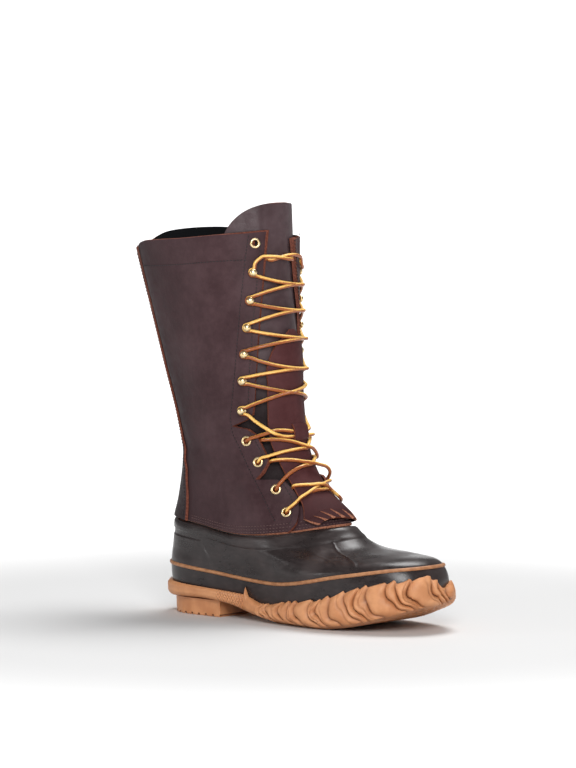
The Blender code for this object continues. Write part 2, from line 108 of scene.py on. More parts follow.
# %% [markdown]
# ## The surface of the boot
# Everything soft on this boot lies on one surface. A point on it has an angle around the foot
# (0 at the heel, 180 at the toe, outer side first) and a level, which counts the feature lines of
# the table from the sole up. A smooth curve through the table's rows gives every height between.

# %% Table of levels
HEIGHT_SHARES = np.array([0.0, 0.25, 0.5, 0.75, 1.0])
WIDTH_SHARES = np.array([0.16, 0.42, 0.68, 0.90])
# name        z_back z_heel z_mid z_ball z_front x_back x_front heel_r heel waist ball toe toe_r swing
LEVELS = [
    ("feather",   19,  19,  9.5,  12,   33,     5,   303,   34,   35,   38,   50,  37,  34,   8),
    ("rand",      31,  27, 23.5,  30,   46,     3,   306,   37,   38,   41,   54,  41,  38,   8),
    ("stripe",    44,  41, 38.5,  50,   58,     2,   301,   38,   39,   43,   56,  41,  38,   8),
    ("vamp_low",  52,  49,   46,  56, 65.5,     3,   290,   38,   39,   43,   55,  39,  36,   7),
    ("vamp_mid",  61,  58,   54,  62, 68.5,     4,   266,   37,   38,   43,   51,  35,  32,   6),
    ("vamp_high", 71,  67,   62,  66, 72.5,     5,   235,   36,   37,   42,   48,  31,  29,   4),
    ("band",      82,  77,   70,  72,   82,     6,   214,   35,   36,   42,   45,  28,  27,   2),
    ("leather",   91,  86,   80,  83,   92,     7,   203,   33,   35,   42,   44,  27,  26,   1),
    ("instep",   114, 111,  108, 111,  116,  12.5,   173,   28,   33,   41,   42,  26,  24,   0),
    ("ankle",    150, 150,  150, 152,  155,    16,   150,   24,   30,   40,   39,  25,  23,   0),
    ("calf_low", 185, 186,  188, 191,  195,     9,   143,   24,   31,   41,   40,  26,  24,   0),
    ("calf",     230, 232,  235, 239,  243,    -4,   140,   30,   35,   47,   46,  29,  28,   0),
    ("calf_top", 285, 287,  291, 296,  301, -19.5,   135,   36,   40,   53,   52,  33,  33,   0),
    ("collar",   341, 345,  350, 356,  361,   -37,   131,   40,   43,   58,   57,  36,  38,   0),
    ("tongue",   377, 381,  387, 392,  398,   -47,   129,   42,   45,   60,   59,  37,  39,   0),
]
ROWS = np.array([row[1:] for row in LEVELS], float)
print("levels from the sole up:", [row[0] for row in LEVELS])

# %% [markdown]
# A smooth curve through a few values is a matter of weights: how much each value counts at a place.
# Blender's own curves would do, but weights work on whole arrays of places at once, so a piece of
# thousands of points is made in one go.

# %% Surface
# Small steps for measuring a direction: degrees around, levels
STEP_AROUND, STEP_LEVEL = 0.5, 0.01


def weights(knots, at):
    """Share of each knot in a smooth cubic curve through values given at the knots."""
    values = np.eye(len(knots))
    slope = np.gradient(values, knots, axis=0)
    i = np.clip(np.searchsorted(knots, at, side="right") - 1, 0, len(knots) - 2)
    span = (knots[i + 1] - knots[i])[:, None]
    t = (at - knots[i])[:, None] / span
    start = (2 * t + 1) * (t - 1) ** 2 * values[i] + t * (t - 1) ** 2 * span * slope[i]
    end = t ** 2 * (3 - 2 * t) * values[i + 1] + t ** 2 * (t - 1) * span * slope[i + 1]
    return start + end


def share_of_length(around):
    """How far along its level a point is, from 0 at the heel to 1 at the toe."""
    return (1 - np.cos(np.radians(around))) / 2


def skin(around, level):
    """Point in millimetres on the outside of the boot; around is in degrees."""
    around, level = np.broadcast_arrays(np.asarray(around, float), np.asarray(level, float))
    angle = np.radians(around.ravel())
    row = weights(np.arange(len(ROWS), dtype=float), level.ravel()) @ ROWS
    heights, x_back, x_front = row[:, :5], row[:, 5], row[:, 6]
    heel_r, half_widths, toe_r, swing = row[:, 7:8], row[:, 8:12], row[:, 12:13], row[:, 13]
    share = share_of_length(around.ravel())
    length = x_front - x_back
    ends = np.sqrt(np.hstack([heel_r, toe_r]) * length[:, None] / 2)
    middle = half_widths / (2 * np.sqrt(WIDTH_SHARES * (1 - WIDTH_SHARES)))
    widths = np.hstack([ends[:, :1], middle, ends[:, 1:]])
    width = (weights(np.concatenate([[0], WIDTH_SHARES, [1]]), share) * widths).sum(axis=1)
    x = x_back + length * share
    y = -width * np.sin(angle) + swing * share ** 2
    z = (weights(HEIGHT_SHARES, share) * heights).sum(axis=1)
    return np.stack([x, y, z], -1).reshape(around.shape + (3,))


def unit(vectors):
    """Vectors at length one."""
    return vectors / np.linalg.norm(vectors, axis=-1, keepdims=True)


def normal(around, level):
    """Outward direction of the surface."""
    around, level = np.asarray(around, float), np.asarray(level, float)
    across = skin(around + STEP_AROUND, level) - skin(around - STEP_AROUND, level)
    along = skin(around, level + STEP_LEVEL) - skin(around, level - STEP_LEVEL)
    return unit(np.cross(across, along))


def raised(around, level, out):
    """Point at a distance out from the surface."""
    around, level, out = np.broadcast_arrays(*(np.asarray(v, float) for v in (around, level, out)))
    return skin(around, level) + normal(around, level) * out[..., None]


print("toe cap reaches x =", skin(180, 2).round(1)[0], "mm")

# %% [markdown]
# Sizes that change along the boot are kept in small tables of two columns. They are read with
# straight lines where the real edge has corners, and smoothly where it bends.

# %% Reading tables
def table(rows, at):
    """Straight-line reading of a two-column table."""
    return np.interp(at, rows[:, 0], rows[:, 1])


def smooth_table(rows, at):
    """Smooth reading of a two-column table, level beyond its ends."""
    at = np.asarray(at, float)
    inside = np.clip(at.ravel(), rows[0, 0], rows[-1, 0])
    return (weights(rows[:, 0], inside) @ rows[:, 1]).reshape(at.shape)


def soft_step(value, width):
    """0 below zero, 1 above, eased over a width."""
    t = np.clip(value / width + 0.5, 0, 1)
    return t * t * (3 - 2 * t)


print("a soft step is at", soft_step(0.25, 1.0), "a quarter of its width past the middle")

# %% [markdown]
# ## Finishes as small graphs
# Each finish is a Principled shader whose colour, roughness and bump come from a few texture nodes.
# The class below wraps one socket, so that a graph can be written like arithmetic.

# %% Shader wires
class Wire:
    """One socket of a shader graph, with arithmetic."""

    def __init__(self, tree, socket=None):
        self.tree = tree
        self.socket = socket

    def node(self, kind, inputs, output=0, **settings):
        """Add any node: its settings first, then the values or wires of its sockets."""
        made = self.tree.nodes.new(kind)
        for name, value in settings.items():
            setattr(made, name, value)
        for name, value in inputs.items():
            if isinstance(value, Wire):
                self.tree.links.new(value.socket, made.inputs[name])
            else:
                made.inputs[name].default_value = value
        return Wire(self.tree, made.outputs[output])

    def math(self, operation, first, second):
        return self.node("ShaderNodeMath", {0: first, 1: second}, operation=operation)

    def __add__(self, other):
        return self.math("ADD", self, other)

    def __mul__(self, other):
        return self.math("MULTIPLY", self, other)

    def __sub__(self, other):
        return self.math("SUBTRACT", self, other)

    def __rsub__(self, other):
        return self.math("SUBTRACT", other, self)

    __radd__ = __add__
    __rmul__ = __mul__

    def span(self, low, high):
        """0 below low, 1 above high, smooth in between."""
        ends = {"Value": self, "From Min": low, "From Max": high}
        return self.node("ShaderNodeMapRange", ends, interpolation_type="SMOOTHSTEP")

    def mix(self, none, full):
        """Colour none where this is 0 and colour full where it is 1."""
        return self.node("ShaderNodeMix", {0: self, 6: none, 7: full}, output=2, data_type="RGBA")

    def noise(self, size, detail=3.0, stretch=(1.0, 1.0, 1.0)):
        """Soft noise whose blobs are about size millimetres across."""
        spot = self.node("ShaderNodeTexCoord", {}, output="Object")
        spot = self.node("ShaderNodeMapping", {"Vector": spot, "Scale": stretch})
        return self.node("ShaderNodeTexNoise", {"Vector": spot, "Scale": 1 / (size * MM), "Detail": detail})

    def stored(self, name):
        """Value kept with the points of the mesh."""
        return self.node("ShaderNodeAttribute", {}, output="Fac", attribute_name=name)

    def bump(self, height_mm, strength=1.0):
        """Normal of a surface whose height in millimetres is this value."""
        inputs = {"Height": self, "Distance": height_mm * MM, "Strength": strength}
        return self.node("ShaderNodeBump", inputs, output="Normal")


def finish(name, recipe):
    """New material; the recipe gets an empty wire and returns Principled sockets by name."""
    made = bpy.data.materials.new(name)
    made.use_nodes = True
    shader = made.node_tree.nodes["Principled BSDF"]
    for socket, value in recipe(Wire(made.node_tree)).items():
        if isinstance(value, Wire):
            made.node_tree.links.new(value.socket, shader.inputs[socket])
        else:
            shader.inputs[socket].default_value = value
    return made


print("a wire also knows", [name for name in vars(Wire) if not name.startswith("__")])

# %% [markdown]
# ## Leather, raw edge and lining
# Oiled shaft leather is a dark plum brown with cloudy patches and a fine grain. Where it is cut,
# the undyed middle of the hide shows as a tan line, so cut edges get a finish of their own. Inside
# the shaft is a black knitted lining. Where leather lies in shade, that shade is painted into its
# colour, and it is made duller there too; the mesh stores how much, and the recipe reads it.

# %% Leather finishes
# Colour of the painted shade on leather
PAINTED_SHADE_COLOUR = (0.015, 0.008, 0.009, 1)
# Finish: dark colour, light colour, roughness, shine
LEATHERS = {
    "leather": ((0.037, 0.0165, 0.0190), (0.069, 0.0365, 0.0405), 0.50, 0.14),
    "backstay leather": ((0.019, 0.0100, 0.0115), (0.034, 0.0190, 0.0215), 0.5, 0.14),
    "tongue leather": ((0.048, 0.0270, 0.0300), (0.080, 0.0500, 0.0550), 0.36, 0.26),
    "kiltie leather": ((0.060, 0.0190, 0.0200), (0.090, 0.0330, 0.0345), 0.60, 0.08),
    "flesh side": ((0.050, 0.014, 0.009), (0.095, 0.030, 0.020), 0.8, 0.1),
}


def leather_recipe(dark, light, roughness, shine):
    def recipe(wire):
        cloud = wire.noise(45).span(0.35, 0.7)
        fine = wire.noise(6, detail=4).span(0.3, 0.75)
        grain = wire.noise(0.9, detail=2)
        # Painted shade: darker colour, and rougher, where the mesh stores shade
        painted_shade = wire.stored("painted_shade")
        face = (cloud * 0.65 + fine * 0.35).mix((*dark, 1), (*light, 1))
        return {
            "Base Color": painted_shade.mix(face, PAINTED_SHADE_COLOUR),
            "Roughness": fine * 0.12 + painted_shade * 0.4 + (roughness - 0.06),
            "Normal": (grain + fine * 2.0).bump(0.12, 0.5),
            "Specular IOR Level": shine,
        }
    return recipe


def raw_edge_recipe(dark, light):
    def recipe(wire):
        fibre = wire.noise(1.6, detail=4).span(0.3, 0.7)
        return {
            "Base Color": fibre.mix((*dark, 1), (*light, 1)),
            "Roughness": 0.8,
            "Normal": fibre.bump(0.3, 0.6),
            "Specular IOR Level": 0.2,
        }
    return recipe


def lining_recipe(wire):
    knit = wire.noise(1.3, detail=1)
    return {
        "Base Color": knit.mix((0.0022, 0.0024, 0.0028, 1), (0.006, 0.0065, 0.0075, 1)),
        "Roughness": 0.95,
        "Normal": knit.bump(0.4, 0.6),
        "Specular IOR Level": 0.15,
    }


leathers = [finish(name, leather_recipe(*look)) for name, look in LEATHERS.items()]
leather, dark_leather, tongue_leather, kiltie_leather, flesh = leathers
raw_edge = finish("raw edge", raw_edge_recipe((0.095, 0.024, 0.014), (0.185, 0.055, 0.033)))
tan_edge = finish("tan edge", raw_edge_recipe((0.22, 0.080, 0.045), (0.42, 0.175, 0.105)))
lining = finish("lining", lining_recipe)
print("leather finishes:", [made.name for made in leathers])

# %% [markdown]
# ## Rubber, gum, brass, cord and thread
# The rubber bottom is brown black and half glossy, with dusty clouds where it was handled. The
# sole is tan gum, with painted shade down in its creases. A painted picture could give the dust, but
# noise needs no unwrapping and has no seams.

# %% Rubber and gum
def rubber_recipe(wire):
    dust = wire.noise(38, detail=5).span(0.42, 0.72)
    rub = wire.noise(9, detail=5, stretch=(1.0, 1.0, 2.5)).span(0.45, 0.8)
    return {
        "Base Color": (dust * 0.6 + rub * 0.4).mix((0.0190, 0.0132, 0.0132, 1), (0.052, 0.0385, 0.0380, 1)),
        "Roughness": dust * 0.16 + rub * 0.10 + 0.27,
        "Normal": (rub + wire.noise(1.4, detail=3)).bump(0.10, 0.5),
        "Specular IOR Level": 0.40,
    }


def gum_recipe(wire):
    # Painted shade: the gum is darkened where the mesh stores crease shade
    crease_shade = wire.stored("crease_shade")
    cloud = wire.noise(14, detail=4).span(0.3, 0.75)
    lit = cloud.mix((0.54, 0.222, 0.090, 1), (0.68, 0.318, 0.144, 1))
    return {
        "Base Color": crease_shade.mix(lit, (0.150, 0.045, 0.016, 1)),
        "Roughness": 0.52,
        "Normal": (wire.noise(5, detail=4) * 3.0 + wire.noise(1.1, detail=3)).bump(0.25, 0.6),
    }


def stripe_recipe(wire):
    cloud = wire.noise(5, detail=4).span(0.3, 0.7)
    return {
        "Base Color": cloud.mix((0.33, 0.135, 0.055, 1), (0.46, 0.215, 0.095, 1)),
        "Roughness": 0.5,
        "Normal": cloud.bump(0.15, 0.5),
    }


rubber = finish("rubber", rubber_recipe)
gum = finish("gum", gum_recipe)
stripe_gum = finish("stripe", stripe_recipe)
print("bottom finishes:", [made.name for made in (rubber, gum, stripe_gum)])

# %% [markdown]
# The hardware is worn brass. The lace is two-tone, gold and rust, and its gold is put on the side
# that looks up, so it is also painted light on top and painted shade underneath. The two tones turn
# with the cord, so the piece stores which side looks up, and the recipe reads it.

# %% Brass, cord, thread and felt
def brass_recipe(wire):
    worn = wire.noise(2.5).span(0.3, 0.7)
    return {
        "Base Color": worn.mix((0.74, 0.53, 0.25, 1), (0.90, 0.74, 0.46, 1)),
        "Roughness": worn * 0.12 + 0.24,
        "Metallic": 1.0,
    }


def lace_recipe(wire):
    face = wire.stored("face")
    fleck = wire.noise(2.2, detail=3)
    # The side that looks up is gold: the lace's gold dye and painted light together, rust and painted shade
    # below
    gold_lit_side = (face + fleck * 0.7 - 0.35).span(0.0, 0.42)
    return {
        "Base Color": gold_lit_side.mix((0.32, 0.080, 0.013, 1), (0.86, 0.51, 0.125, 1)),
        "Roughness": 0.42,
        "Normal": wire.noise(0.7, detail=2).bump(0.15, 0.6),
        "Coat Weight": 0.15,
    }


def thread_recipe(colour):
    def recipe(wire):
        return {"Base Color": (*colour, 1), "Roughness": 0.6, "Normal": wire.noise(0.5).bump(0.1, 0.5)}
    return recipe


def felt_recipe(wire):
    nap = wire.noise(2.0, detail=5)
    return {
        "Base Color": nap.mix((0.020, 0.019, 0.018, 1), (0.075, 0.070, 0.065, 1)),
        "Roughness": 0.95,
        "Normal": nap.bump(0.6, 0.7),
    }


brass = finish("brass", brass_recipe)
lace_cord = finish("lace", lace_recipe)
thread = finish("thread", thread_recipe((0.010, 0.006, 0.007)))
brown_thread = finish("brown thread", thread_recipe((0.085, 0.042, 0.040)))
felt = finish("felt", felt_recipe)
others = (brass, lace_cord, thread, brown_thread, felt)
print("other finishes:", [made.name for made in others])

# %% [markdown]
# ## Making a piece
# Most pieces are grids of points: rows up the boot, columns around it. A sheet is two such grids,
# outside and inside, with a strip of faces along every edge that only one cell uses. Those strips
# are the cut edges, and they take the raw finish.

# %% Grids, tubes and sheets
def grid_cells(rows, columns, wrap_rows=False, wrap_columns=False):
    """Corner numbers of a grid's cells; the grid may close on itself."""
    number = np.arange(rows * columns).reshape(rows, columns)
    if wrap_columns:
        number = np.hstack([number, number[:, :1]])
    if wrap_rows:
        number = np.vstack([number, number[:1]])
    return np.stack([number[:-1, :-1], number[:-1, 1:], number[1:, 1:], number[1:, :-1]], axis=-1)


def tube_faces(stations, sides):
    """Faces of a tube through rings of points, closed at both ends."""
    faces = grid_cells(stations, sides, wrap_columns=True).reshape(-1, 4).tolist()
    return faces + [list(range(sides))[::-1], list(range((stations - 1) * sides, stations * sides))]


def faces_across(count, start):
    """Faces that close a ring which runs heel, outer side, toe, inner side."""
    faces = []
    for k in range(count // 2):
        corners = dict.fromkeys([k, k + 1, (count - k - 1) % count, (count - k) % count])
        faces.append([start + corner for corner in corners])
    return faces


def sheet(outer, inner, keep=None):
    """Points, faces and kinds (0 outside, 1 cut edge, 2 inside) of a thick sheet."""
    rows, columns = outer.shape[:2]
    cells = grid_cells(rows, columns)
    cells = cells.reshape(-1, 4) if keep is None else cells[keep]
    first, second, third = (outer.reshape(-1, 3)[cells[:, k]] for k in (0, 1, 3))
    facing = np.cross(second - first, third - first)
    depth = (outer - inner).reshape(-1, 3)[cells[:, 0]]
    if (facing * depth).sum() < 0:
        cells = cells[:, ::-1]
    edges = np.concatenate([cells[:, [k, (k + 1) % 4]] for k in range(4)])
    back = rows * columns
    key = edges.min(axis=1) * back + edges.max(axis=1)
    _, place_of, count = np.unique(key, return_index=True, return_counts=True)
    rim = edges[place_of[count == 1]]
    walls = np.stack([rim[:, 1], rim[:, 0], rim[:, 0] + back, rim[:, 1] + back], axis=1)
    faces = np.concatenate([cells, walls, cells[:, ::-1] + back])
    kinds = np.repeat([0, 1, 2], [len(cells), len(walls), len(cells)])
    points = np.concatenate([outer.reshape(-1, 3), inner.reshape(-1, 3)])
    return points, faces.tolist(), kinds.tolist()


def join(parts):
    """Several (points, faces, kinds) as one."""
    points, faces, kinds, start = [], [], [], 0
    for part_points, part_faces, part_kinds in parts:
        points.append(part_points)
        faces += [[start + corner for corner in face] for face in part_faces]
        kinds += list(part_kinds)
        start += len(part_points)
    return np.concatenate(points), faces, kinds


print("a grid of 3 by 4 points has", len(grid_cells(3, 4).reshape(-1, 4)), "cells")

# %% [markdown]
# Points and faces become an object in one step, which is far quicker than adding them one by one.
# A number for each face picks its finish, and values such as the painted shade of a crease are
# stored with the points, so that a finish can read them.

# %% Make a piece
SHARP_ANGLE = 38.0


def make(name, part, finishes, stored=None):
    """New piece on the boot; each face's kind picks its finish."""
    points, faces, kinds = part
    mesh = bpy.data.meshes.new(name)
    mesh.from_pydata(place(points).tolist(), [], faces)
    for one in finishes:
        mesh.materials.append(one)
    mesh.polygons.foreach_set("material_index", np.asarray(kinds, np.int32))
    for key, values in (stored or {}).items():
        kept = mesh.attributes.new(key, "FLOAT", "POINT")
        kept.data.foreach_set("value", np.asarray(values, np.float32))
    mesh.shade_smooth()
    mesh.set_sharp_from_angle(angle=math.radians(SHARP_ANGLE))
    piece = bpy.data.objects.new(name, mesh)
    scene.collection.objects.link(piece)
    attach(piece, "root")
    print(f"{name}: {len(points)} points, {len(faces)} faces")
    return piece


print("faces that meet at more than", SHARP_ANGLE, "degrees keep a sharp edge")

# %% [markdown]
# ## The lace
# One lace starts as a short bar through two slits of the kiltie, the loose flap over the instep,
# comes up through the lowest eyelets, crosses at every row and goes behind each speed hook. The
# route below is worked out from the same table of fastenings that places eyelets and hooks.

# %% Throat, kiltie and fastenings
LEATHER = 2.2
LACE = 3.3
TONGUE_DEPTH = 3.6
KILTIE_THICK = 1.8
# Front edges of the quarters, with two notches each: level, angle on the outer and inner side
THROAT = np.array([
    (7.00, 127.0, 127.0),
    (7.17, 132.0, 132.0),
    (7.36, 137.4, 137.4),
    (7.65, 143.9, 143.9),
    (7.92, 149.4, 149.4),
    (8.11, 150.9, 150.9),
    (8.30, 149.6, 149.6),
    (8.43, 147.3, 147.3),
    (8.48, 140.0, 140.0),
    (8.51, 123.8, 123.8),
    (8.62, 130.3, 130.3),
    (8.80, 137.1, 137.1),
    (8.91, 139.3, 139.3),
    (9.14, 136.8, 136.8),
    (9.49, 132.4, 132.4),
    (9.65, 125.0, 125.0),
    (9.74, 111.0, 111.0),
    (9.86, 124.6, 124.6),
    (9.96, 131.0, 131.0),
    (10.19, 134.0, 134.0),
    (10.65, 137.0, 138.0),
    (11.16, 142.0, 147.0),
    (12.15, 153.0, 165.5),
    (13.00, 162.0, 171.5),
])
# Half angle of the kiltie from the toe line: level, angle
KILTIE = np.array([
    (7.40, 36.0),
    (7.70, 30.5),
    (8.14, 28.5),
    (8.79, 33.0),
    (9.26, 36.5),
    (9.62, 37.4),
    (10.04, 35.8),
    (10.44, 34.0),
    (10.98, 30.5),
    (11.21, 22.6),
    (11.46, 3.8),
])
KILTIE_LIFT = np.array([
    (7.20, 5.0), (7.60, 5.0), (7.85, 4.3), (8.10, 2.8),
    (8.50, 1.0), (9.30, 0.5), (10.00, -0.3), (11.46, -0.6),
])
# Fastenings from the vamp up: kind, level, angle on the outer side, angle on the inner side
FASTENINGS = [
    ("eyelet", 7.68, 134.9, 225.1),
    ("eyelet", 8.27, 135.8, 224.2),
    ("eyelet", 8.87, 127.7, 232.3),
    ("eyelet", 9.37, 120.9, 239.1),
    ("hook", 10.07, 121.6, 238.4),
    ("hook", 10.65, 125.8, 236.0),
    ("hook", 11.12, 130.1, 234.5),
    ("hook", 11.54, 135.4, 233.5),
    ("hook", 11.95, 140.2, 233.0),
    ("hook", 12.36, 144.6, 233.0),
    ("eyelet", 12.79, 148.5, 229.0),
]
LACED = FASTENINGS[:-1]
SIDES = {"lateral": 1, "medial": -1}
# Strap of the kiltie that two strands pass under
KEEPER_LEVEL, KEEPER_HALF = 9.49, 0.20
KEEPER_LEFT, KEEPER_RIGHT = 168.5, 194.5
# How far the loose inner flap stands off the foot: level, height; and where it begins and ends
STAND_OFF = np.array([
    (7.30, 0.0), (7.60, 2.5), (7.90, 5.5), (8.11, 6.5), (8.43, 6.8), (8.55, 4.5), (8.87, 2.8),
    (9.20, 1.5), (9.60, 0.5), (9.80, 0.0), (11.90, 0.0), (12.40, 1.5), (12.90, 2.5), (13.40, 2.5),
])
FLAP_START, FLAP_CLIMB = 203.0, 10.0
FLAP_END, FLAP_FALL = 229.0, 42.0
print(len(FASTENINGS) * len(SIDES), "fastenings")

# %% [markdown]
# Every fastening stands square on the leather, and the inner flap lifts its own off the foot. The
# helpers below say for any place where the leather is, which way it faces and what a lace would
# lie on. Snapping could find that too, but it needs the finished mesh.

# %% Places on the leather
def on_side(angle, side):
    """The same place on the outer side (1) or the inner side (-1)."""
    return 180 + side * (np.asarray(angle, float) - 180)


def edge_of(level, side):
    """Angle of a quarter's front edge, counted from the heel."""
    return table(THROAT[:, [0, 1 if side > 0 else 2]], level)


def stand_off(around, level):
    """Height of the inner flap; the lace climbs up to it."""
    around = np.asarray(around, float) % 360
    reach = soft_step(around - FLAP_START, FLAP_CLIMB) * soft_step(FLAP_END - around, FLAP_FALL)
    return smooth_table(STAND_OFF, level) * reach


def flap(around, level):
    """Point on the leather, the inner flap included."""
    return raised(around, level, stand_off(around, level))


def stand(around, level):
    """A fastening's place, outward direction, direction to the throat and direction up."""
    side = 1 if around < 180 else -1
    across = flap(around + STEP_AROUND, level) - flap(around - STEP_AROUND, level)
    along = flap(around, level + STEP_LEVEL) - flap(around, level - STEP_LEVEL)
    out, inward = unit(np.cross(across, along)), unit(side * across)
    return flap(around, level), out, inward, unit(np.cross(out, inward) * side)


def under_lace(around, level):
    """Height of what the lace lies on: kiltie, tongue or quarter."""
    half = np.abs(around - 180)
    on_kiltie = (half < table(KILTIE, level)) & (level < KILTIE[-1, 0])
    on_tongue = half < 180 - np.where(around < 180, edge_of(level, 1), edge_of(level, -1))
    over = table(KILTIE_LIFT, level) + KILTIE_THICK
    return np.where(on_kiltie, over, np.where(on_tongue, -TONGUE_DEPTH, 0.0))


print("lowest outer eyelet sits at", flap(FASTENINGS[0][2], FASTENINGS[0][1]).round(1), "mm")

# %% [markdown]
# A real lace lies on whatever is below it. A physics run could settle it, but a route of chosen
# places keeps every strand where it is seen: it leaves a fastening steeply, lies over the kiltie
# and is lifted by its own thickness where it crosses the other strand.

# %% Lace places
LACE_AIR = 0.25
SETTLE = 2
LEG_POINTS = 9
LEAVE_BEND, SLIP_BEND = 2.4, 2.0
# Rows whose strands run straighter: row, bend
STRAIGHTER = {0: 1.3, 4: 1.25}
LEAVE_ANGLE, LEAVE_LEVEL = 3.0, 0.06
CROSSING_ANGLE = 7.0
LOOP_RADIUS, LOOP_HEIGHT = 3.0, 2.9
LOOP_TURNS = np.radians([-75, -125, 180, 125, 75])
HIDDEN_DEPTH = -4.6
# Bar on the kiltie, half of it: angle, level, height
BAR = [
    (180, 8.085, 6.6), (172, 8.09, 6.4), (167, 8.085, 5.0), (163.5, 8.07, 0.6), (145, 7.60, HIDDEN_DEPTH),
]
# Way up through an eyelet: out from the leather, to the throat, up
EYELET_WAY = [(-4.4, 0.0, -1.5), (-1.0, 0.0, 0.0), (1.5, 1.2, 0.5)]
# Way under a quarter's front edge: angle past the edge, height; then angle behind it
SLIP_ANGLE, SLIP_HEIGHT, TUCK_BACK = 0.5, -2.6, -3.0
# Where the two strands between one row and the next cross: angle, level
MEETS = {
    0: (178, 8.19),
    1: (183, 8.70),
    2: (186, 9.08),
    4: (168, 10.36),
    5: (197, 10.79),
    6: (210, 11.30),
    7: (200, 11.74),
    8: (200, 12.14),
}
# Loose strands from the inner eyelets over the inner flap to those crossings: angle, level, height
INNER_STRANDS = {
    0: [
        (220, 7.69, 5.9), (214, 7.70, 7.0), (208, 7.72, 8.2), (203, 7.76, 8.4), (199, 7.83, 8.3),
        (196, 7.93, 7.9), (192, 8.05, 7.6), (186, 8.13, 8.6), (178, 8.19, 9.4),
    ],
    1: [
        (219, 8.32, 8.5), (214, 8.38, 11.0), (209, 8.45, 12.5), (205, 8.52, 12.4), (201, 8.58, 11.2),
        (196, 8.62, 9.5), (190, 8.66, 8.2), (183, 8.70, 7.9),
    ],
    2: [
        (225, 8.85, 5.0), (218, 8.83, 6.0), (212, 8.84, 6.5), (208, 8.87, 6.8), (204, 8.92, 7.0),
        (199, 8.98, 7.0), (193, 9.04, 7.2), (186, 9.08, 7.6),
    ],
}
# The two strands through the keeper, from the last eyelets to the first hooks: angle, level, height
KEEPER_ROW = 3
KEEPER_UP = [
    (124, 9.41, 2.2), (131, 9.46, 2.0), (141, 9.52, 3.2), (149, 9.57, 4.2), (157, 9.56, 4.3),
    (164, 9.53, 4.1), (167.5, 9.52, 3.2), (171, 9.51, 0.4), (176, 9.50, -1.3), (184, 9.50, -1.4),
    (190, 9.50, 0.0), (194, 9.51, 3.0), (199, 9.54, 5.0), (206, 9.60, 4.0), (215, 9.70, 2.4),
    (225, 9.86, 2.0), (234, 10.0, 2.2),
]
KEEPER_DOWN = [
    (236, 9.41, 2.4), (226, 9.40, 4.5), (215, 9.39, 6.5), (206, 9.39, 7.5), (199, 9.39, 6.0),
    (194, 9.385, 2.8), (190, 9.38, 0.0), (184, 9.38, -1.4), (176, 9.38, -1.4), (171, 9.385, 0.3),
    (167.5, 9.39, 3.2), (164, 9.39, 4.1), (155, 9.42, 5.0), (148, 9.49, 7.2), (142, 9.61, 6.2),
    (132, 9.82, 2.6), (125, 9.98, 2.2),
]
print("strands cross in", len(MEETS) + 1, "rows")

# %% [markdown]
# The route is put together from short stretches: a leg to a crossing, a way up through an eyelet, a
# loop round a hook, a dive under an edge. The two halves of the lace take the same way, begun on
# either side, so one function lays out both.

# %% Lace route
def leg(start, meet, slipped, bend):
    """To the crossing: steep from a fastening, flat from an edge that it slips under."""
    t = np.linspace(0, 1, LEG_POINTS)
    rise = t ** SLIP_BEND if slipped else 1 - (1 - t) ** bend
    around = start[0] + (meet[0] - start[0]) * t
    level = start[1] + (meet[1] - start[1]) * rise
    return list(zip(around, level))


def lie(places, lifted_at):
    """Strand on what is below it; lifted_at is the angle where it passes over the other strand."""
    around, level = np.array(places, float).T
    bare = np.maximum(under_lace(around, level), stand_off(around, level))
    padded = np.pad(bare, SETTLE, mode="edge")
    settled = np.array([padded[k:k + 2 * SETTLE + 1].mean() for k in range(len(bare))])
    height = np.maximum(bare, settled) + LACE / 2 + LACE_AIR
    if lifted_at is not None:
        height = height + LACE * np.exp(-((around - lifted_at) / CROSSING_ANGLE) ** 2)
    return list(raised(around, level, height))


def through_eyelet(around, level):
    """Up from below through an eyelet, leaning to the throat."""
    spot, out, inward, up = stand(around, level)
    return [spot + a * out + b * inward + c * up for a, b, c in EYELET_WAY]


def round_hook(around, level):
    """In below a hook, behind its stem and out above it."""
    spot, out, inward, up = stand(around, level)
    ring = [math.cos(turn) * inward + math.sin(turn) * up for turn in LOOP_TURNS]
    return [spot + LOOP_HEIGHT * out + LOOP_RADIUS * step for step in ring]


def under_edge(level, side, depth=HIDDEN_DEPTH):
    """Down from the throat to below the quarter's front edge."""
    edge = edge_of(level, side)
    way = ((SLIP_ANGLE, SLIP_HEIGHT), (TUCK_BACK, depth))
    return [raised(on_side(edge + step, side), level, lift) for step, lift in way]


def half_lace(side):
    """Route from the bar on the kiltie up to the back of the top hook."""
    points = [raised(on_side(angle, side), level, lift) for angle, level, lift in BAR]
    for k, (kind, level, *angles) in enumerate(LACED):
        here = side if k % 2 == 0 else -side
        around = angles[0] if here > 0 else angles[1]
        points += through_eyelet(around, level) if kind == "eyelet" else round_hook(around, level)
        if k + 1 == len(LACED):
            return np.array(points[:-2])
        next_kind, next_level, outer, inner = LACED[k + 1]
        start = (around + here * LEAVE_ANGLE, level + LEAVE_LEVEL)
        if k == KEEPER_ROW:
            points += [raised(*spot) for spot in (KEEPER_UP if here > 0 else KEEPER_DOWN)]
            continue
        slipped = next_kind == "eyelet"
        if slipped:
            end = (on_side(edge_of(next_level, -here) + LEAVE_ANGLE, -here), next_level)
        else:
            end = ((inner if here > 0 else outer) - here * LEAVE_ANGLE, next_level - LEAVE_LEVEL)
        bend = STRAIGHTER.get(k, LEAVE_BEND)
        first = leg(start, MEETS[k], False, bend)
        second = leg(end, MEETS[k], slipped, bend)[-2::-1]
        if slipped and here < 0:
            points += [raised(*spot) for spot in INNER_STRANDS[k]] + lie(second, MEETS[k][0])
        else:
            points += lie(first + second, None if slipped or here < 0 else MEETS[k][0])
        points += under_edge(next_level, -here) if slipped else []


route = np.concatenate([half_lace(1)[::-1], half_lace(-1)[1:]])
print("the lace's route has", len(route), "places")

